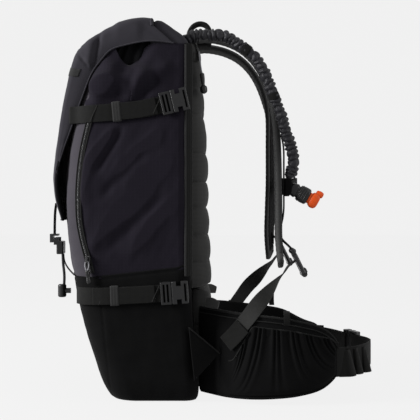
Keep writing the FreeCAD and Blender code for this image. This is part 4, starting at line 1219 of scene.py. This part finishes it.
both(band, "upper_tail", UPPER_TAIL, UPRIGHT, body="lid")
lower_straps = both(band, "lower_strap", LOWER_STRAP, UPRIGHT, 1.7, body=None)
lower_tails = both(band, "lower_tail", LOWER_TAIL, UPRIGHT, body=None)
for pair in (lower_straps, lower_tails):
    for obj, (side, word) in zip(pair, SIDES):
        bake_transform(obj)
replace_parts(upper, "lid_webbing")
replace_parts(lower_straps[0], "pack_webbing")
band("closure_strip",
     [(-163.8, 0, 292, 18), (-165.5, 0, 280, 18), (-166.3, 0, 262, 18), (-166.5, 0, 243, 18)],
     ACROSS, 2.0, body="lid")


def cut_end(name, x, y, z, body):
    """A pale strip across the end of a strap, cut on a slant."""
    lean = math.radians(24)
    way = np.array((math.sin(lean), 0, math.cos(lean)))
    start, end = np.array((x, y, z)) - way * 13.2, np.array((x, y, z)) + way * 13.2
    rows = [(*(start * (1 - t) + end * t), 1.3) for t in (0, 0.34, 0.67, 1)]
    return both(band, name, rows, ACROSS, 1.0, M_WEB_LIGHT, body)


cut_end("upper_tail_end", 3.6, -153.2, 434.6, "lid")
for obj, (_, word) in zip(cut_end("lower_tail_end", 1.6, -152.8, 162.0, None), SIDES):
    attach(obj, "lower_plug_" + word)
cut_end("upper_seam", -88.5, -150.6, 423.2, "lid")
cut_end("lower_seam", -75.5, -150.9, 158.0, "pack")


def tilted(tilt):
    """The directions along and up, turned by an angle in the side view."""
    lean = math.radians(tilt)
    return np.array((math.cos(lean), 0, math.sin(lean))), np.array((-math.sin(lean), 0, math.cos(lean)))


def keeper(name, x, y, z, tilt, body):
    """The elastic band that holds a strap's tail."""
    along, rise = tilted(tilt)
    shape = oval(36, 5)
    sections = []
    for t in np.linspace(-1, 1, 13):
        swell = 1 + 0.05 * math.cos(t * 9.0)
        high, deep = 14.6 * (1 - 0.03 * t**4), 3.3 * swell * (1 - 0.25 * t**8)
        centre = np.array((x, y, z)) + along * 6.2 * t
        sections.append(centre + rise * (shape[:, :1] * high) + Y_AXIS * (shape[:, 1:] * deep))
    return closed_form(name, sections, M_BIND, body)


for side, word in SIDES:
    keeper("upper_keeper_" + word, -55, side * 151.0, 425.9, 5.5, "lid")
    obj = keeper("lower_keeper_" + word, -58, side * 150.4, 158.8, 2.0, "pack")
    if side == RIGHT:
        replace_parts(obj, "webbing_keepers")


def sleeve_keeper(name, x, y, z, tilt, length):
    """A webbing loop that holds the sleeve."""
    along, rise = tilted(tilt)
    angle = np.linspace(0, 2 * math.pi, 36, endpoint=False)
    sections = []
    for t in np.linspace(-1, 1, 11):
        r = 8.9 - 0.5 * t**4
        centre = np.array((x, y, z)) + along * (length / 2 * t)
        sections.append(centre + rise * (np.cos(angle)[:, None] * r) + Y_AXIS * (np.sin(angle)[:, None] * r))
    closed_form("sleeve_keeper_" + name, sections, M_WEB, "pack")


SLEEVE_KEEPERS = (("high", 135, -103, 522.5, -35, 12), ("low", 176.5, -102.8, 452.5, -68, 11))
for keeper_row in SLEEVE_KEEPERS:
    sleeve_keeper(*keeper_row)
for name, x, y, z, _, _ in SLEEVE_KEEPERS:
    tab = [(x - 1, y + 9.0, z - 1, 11), (x - 1, y + 14, z - 2, 11), (x - 1, y + 20, z - 3, 11)]
    band("sleeve_tab_" + name, tab, (0.75, 0, -0.66))


def anchors():
    for x, z, tilt, name in ((25, 439.6, 13.4, "upper_anchor"), (25, 163.4, 4.0, "lower_anchor")):
        lean = math.radians(tilt)
        rows = []
        for lx, ly in ((19.8, 1.6), (19.9, -1.5), (20.6, -6.0), (22.6, -12.0), (24.6, -18.2)):
            rows.append((x + lx * math.cos(lean), -154.5 - ly, z + lx * math.sin(lean), 23.5))
        both(band, name, rows, (-math.sin(lean), 0, math.cos(lean)), 1.7)


anchors()

# ---- zips ----


def teeth(name, line, across, out, step, width, body):
    """The coil of a zip: rounded bars lying across a line."""
    verts, faces = [], []
    points, at = resample(line, step)
    for i, p in enumerate(points):
        a = np.array([np.interp(i, np.linspace(0, len(points) - 1, len(across)), across[:, k])
                      for k in range(3)])
        o = np.array([np.interp(i, np.linspace(0, len(points) - 1, len(out)), out[:, k]) for k in range(3)])
        along = np.cross(a, o)
        base = len(verts)
        for share, size in ((-1, 0.5), (-0.7, 1.0), (0.7, 1.0), (1, 0.5)):
            for turn in range(6):
                angle = turn * math.pi / 3
                offset = along * math.cos(angle) * step * 0.36 + o * math.sin(angle) * 0.8
                verts.append(p + a * (share * width / 2) + offset * size)
        faces += quads(4, 6, closed_v=True, start=base)
        faces += [tuple(base + k for k in range(5, -1, -1)), tuple(base + 18 + k for k in range(6))]
    add_mesh(name, verts, faces, M_PLASTIC, body)


def side_zip():
    z = np.linspace(192, 424, 80)
    line = shell(z, zip_s(z), RIGHT)
    angle = np.radians((2 - zip_s(z)) * 90)
    across = np.stack([np.cos(angle), -np.sin(angle), 0 * z], 1)
    out = np.stack([-np.sin(angle), -np.cos(angle), 0 * z], 1)
    t = np.linspace(-1, 1, 9)[None, :, None]
    grid = line[:, None] + across[:, None] * (t * 4.3) + out[:, None] * (0.9 + 0.5 * (1 - t**2))
    tape = panel("side_zip_tape", grid, M_GUSSET, "pack", 0.8, (-400, -FAR, 330))
    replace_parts(tape, "zip_tapes")
    teeth("side_zip_coil", line + out * 1.6, across, out, 1.7, 3.6, "pack")
    for edge, name in ((-1, "front"), (1, "rear")):
        pipe("side_zip_welt_" + name, (line + across * edge * 4.4 + out * 1.1)[::3], 0.9, M_GUSSET)


side_zip()
band("back_zip_tape", [(58.9, -99.5, 534, 10), (62.4, -99.5, 519, 10), (65.6, -99.5, 505, 10)],
     ACROSS, 1.2, M_BIND)
back_line = np.array([(59.8, -99.5, 533), (63.2, -99.5, 519), (66.4, -99.5, 505.5)])
teeth("back_zip_coil", back_line, np.array([(0, 1.0, 0)] * 2), np.array([(0.97, 0, 0.22)] * 2),
      1.7, 3.6, "pack")


def knob(name, centre, axis, profile, material, body):
    """A turned grip: (distance along the axis, radius) pairs round a line."""
    axis = np.array(axis, float) / np.linalg.norm(axis)
    side = np.cross(axis, ACROSS)
    side /= np.linalg.norm(side)
    other = np.cross(axis, side)
    angle = np.linspace(0, 2 * math.pi, 28, endpoint=False)
    fine = smooth_rows([(d, r, 0) for d, r in profile], 40)
    ring = np.cos(angle)[:, None] * side + np.sin(angle)[:, None] * other
    sections = [np.array(centre, float) + axis * d + ring * max(r, 0.05) for d, r, _ in fine]
    return closed_form(name, sections, material, body)


PULL_PIN = np.array((-97.85, -152.0, 209.5))
PULL_WAY = np.array((0.9563, -0.2924, 0.0))
PULL_OUT = np.array((-0.2924, -0.9563, 0.0))


def pull_point(across, out, down):
    return tuple(PULL_PIN + PULL_WAY * across + PULL_OUT * out + np.array((0, 0, -down)))


loop = [pull_point(0.4, 0.2, 15), pull_point(2.8, 0.6, 11), pull_point(3.2, 0.2, 5),
        pull_point(1.6, 0, 0.5), pull_point(-1.6, 0, 0.5), pull_point(-3.0, 0.2, 5),
        pull_point(-2.4, 0.6, 11), pull_point(0.2, 0.2, 15)]
pipe("side_puller_loop", loop, 0.95, M_CORD_LIGHT, "side_zip_puller")
grip = knob("side_puller_grip", pull_point(0.3, 0.3, 13.5), (0.16, 0, -1),
            [(0, 1.2), (0.8, 2.8), (4, 3.2), (10, 2.7), (16, 3.1), (19, 2.6), (20, 0.6)],
            M_PLASTIC, "side_zip_puller")
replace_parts(grip, "side_zip_puller")
for y, name in ((-112.3, "a"), (-108.7, "b")):
    strand = [(64.5, y + (-110.5 - y) * 0.4, 519), (65.0, y, 511), (66.6, y, 500),
              (68.0, (y - 110.5) / 2, 491), (69.0, -110.5, 484)]
    pipe("back_puller_loop_" + name, strand, 0.95, M_CORD_LIGHT, "back_zip_puller")
knob("back_puller_pin", (64.5, -112.3, 518), (0.02, 1, 0), [(0, 0.6), (0.6, 1.2), (7.2, 1.2), (8, 0.6)],
     M_PLASTIC, "back_zip_puller")
grip = knob("back_puller_grip", (68.8, -110.5, 487), (1.0, 0, -9),
            [(0, 1.0), (1, 2.9), (5, 3.4), (13, 3.0), (19, 2.9), (20.5, 4.6), (25, 5.4), (29, 4.6),
             (31.5, 1.0)],
            M_PLASTIC, "back_zip_puller")
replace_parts(grip, "back_zip_puller")

# ---- trigger ----
TRIGGER = np.array((206.0, -91.0, 314.0))
TILT = math.radians(28.7)
TRIGGER_WAY = np.array((math.cos(TILT), 0, -math.sin(TILT)))
TRIGGER_UP = np.array((math.sin(TILT), 0, math.cos(TILT)))


def moulded(name, profile, deep, power, material, body, rise=0.0):
    """A moulded piece on the trigger's axis from (distance, half height) pairs; deep is its depth share."""
    shape = oval(44, power)
    fine = smooth_rows([(d, r, 0) for d, r in profile], 70)
    sections = []
    for d, r, _ in fine:
        r = max(r, 0.1)
        sections.append(TRIGGER + TRIGGER_WAY * d + TRIGGER_UP * (rise + shape[:, :1] * r)
                        + Y_AXIS * (shape[:, 1:] * r * deep))
    return closed_form(name, sections, material, body)


holder = moulded("trigger_housing",
                 [(-4.5, 4), (-3.8, 7.5), (-1.5, 9.6), (2, 10.2), (6.5, 10.4), (7.4, 9.2), (9.4, 9.2),
                  (10.2, 11.4), (14, 12.2), (22, 12.5), (25, 12.1), (26.2, 10.8), (26.4, 4)],
                 0.72, 2.8, M_PLASTIC, "pack")
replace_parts(holder, "trigger_holder")
for d in (13.5, 17.0, 20.5):
    ring = [TRIGGER + TRIGGER_WAY * d + TRIGGER_UP * (12.2 * u) + Y_AXIS * (8.9 * v)
            for u, v in oval(24, 2.8)]
    pipe("housing_rib_%d" % int(d), ring + ring[:1], 0.7, M_PLASTIC, "pack")
handle = moulded("trigger_grip",
                 [(26.7, 4), (27.0, 8.4), (29.5, 8.8), (31, 10.4), (33, 11.6), (37.5, 12.0), (40.5, 11.0),
                  (42.6, 8.4), (43.4, 3)],
                 0.68, 2.6, M_ORANGE, "trigger")
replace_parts(handle, "trigger_handle")
moulded("trigger_knob", [(33.6, 1.0), (34.2, 3.6), (37, 4.8), (42, 4.8), (44.6, 3.8), (45.4, 1.0)],
        0.9, 2.4, M_ORANGE, "trigger", 12.2)
pipe("trigger_stem", [tuple(TRIGGER + TRIGGER_WAY * d) for d in (4, 12, 20, 30)], 3.8, M_PLASTIC_GREY,
     "trigger")
cuff_line = [tuple(sleeve_line[-1] + np.array((0.35, 0, -1.0)) * d) for d in (-6, -3, 0, 3.2)]
pipe("sleeve_cuff", cuff_line, 6.4, M_SLEEVE, "pack")
for side, word in SIDES:
    bar = [(219.6, side * 117 + y, 188.6) for y in (-15, -8, 0, 8, 15)]
    pipe("lock_thumb_bar_" + word, bar, 4.4, M_PLASTIC, "ladder_lock_" + word)
    for y, edge in ((-16, "a"), (16, "b")):
        rail = [(205.5, side * 117 + y, 217), (209.5, side * 117 + y, 209), (214, side * 117 + y, 200),
                (218.6, side * 117 + y, 190.6)]
        pipe("lock_rail_" + word + "_" + edge, rail, 3.2, M_PLASTIC, "ladder_lock_" + word)
    roll = [(203, side * 117 + y, 222) for y in (-12, -6, 0, 6, 12)]
    pipe("lock_web_roll_" + word, roll, 4.6, M_WEB)

# ---- inside ----


def divider():
    z = tall(4, 540, 50)
    share = wide(-1, 1, 50)
    half = hermite(RING_Z, RING_HALF, z) - 5.5
    x = -10.6 + 0.8 * waves(share * 120 + 0 * z, z + 0 * share, 60, 111) * (1 - share**2)
    return np.stack([x, share * half, z + 0 * share], -1)


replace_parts(panel("divider_cloth", divider(), M_LINING, "pack", 1.4, (-FAR, 0, 300)),
            "compartment_divider")


def airbag_bundle():
    outline = smooth_outline([(-4, 452), (-3.5, 490), (-2, 542), (4, 555), (16, 548.5), (34, 536), (39, 520),
                              (39.5, 490), (39.5, 452), (18, 451.5)], 70)
    centre = outline.mean(axis=0)
    sections = []
    for y in np.linspace(-70, 122, 96):
        end = (1 - abs((y - 26) / 96.5) ** 14) ** 0.3
        pleat = 1 - 0.035 * abs(math.sin(y * 0.33)) - 0.02 * math.sin(y * 0.9)
        loop = centre + (outline - centre) * end * pleat
        sections.append(np.stack([loop[:, 0], np.full(len(loop), y), loop[:, 1]], 1))
    return closed_form("airbag_bundle", sections, M_AIRBAG, "pack")


bundle = airbag_bundle()
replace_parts(bundle, "folded_airbag")
low, high = [np.array(c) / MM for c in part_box("gas_cylinder")]
middle, reach = (low + high) / 2, (high[0] - low[0]) / 2 + 1.0
for z, name in ((201, "low"), (311, "high")):
    ring = []
    for turn in np.radians(np.linspace(-42, 222, 23)):
        ring.append((middle[0] - reach * math.sin(turn), middle[1] + reach * math.cos(turn), z, 21))
    obj = band("cylinder_strap_" + name, ring, UPRIGHT, 1.4, count=70)
    if name == "low":
        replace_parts(obj, "cylinder_straps")

# ---- the frame's own pieces ----
FINISH = {
    M_PLASTIC: ["ladder_lock_right", "ladder_lock_left", "sternum_sliders", "sternum_socket", "sternum_plug",
                "belt_socket", "upper_plugs", "closure_hook", "closure_adjuster", "cord_lock",
                "cord_lock_button", "strap_sockets", "lower_plug_right", "lower_plug_left", "frame_sheet",
                "side_zip_slider", "sternum_rails"],
    M_PLASTIC_GREY: ["belt_plug"],
    M_STRETCH: ["sleeve_collar"],
    M_ALU: ["frame_stays", "stay_rivets", "gas_cylinder"],
    M_BRASS: ["valve_head", "inflator"],
    M_STEEL: ["valve_lever", "firing_pin", "trigger_cable"],
    M_HOSE: ["gas_hose"],
}
for material, names in FINISH.items():
    for name in names:
        for place in nodes[name].material_slots:
            place.material = material

low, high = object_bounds()
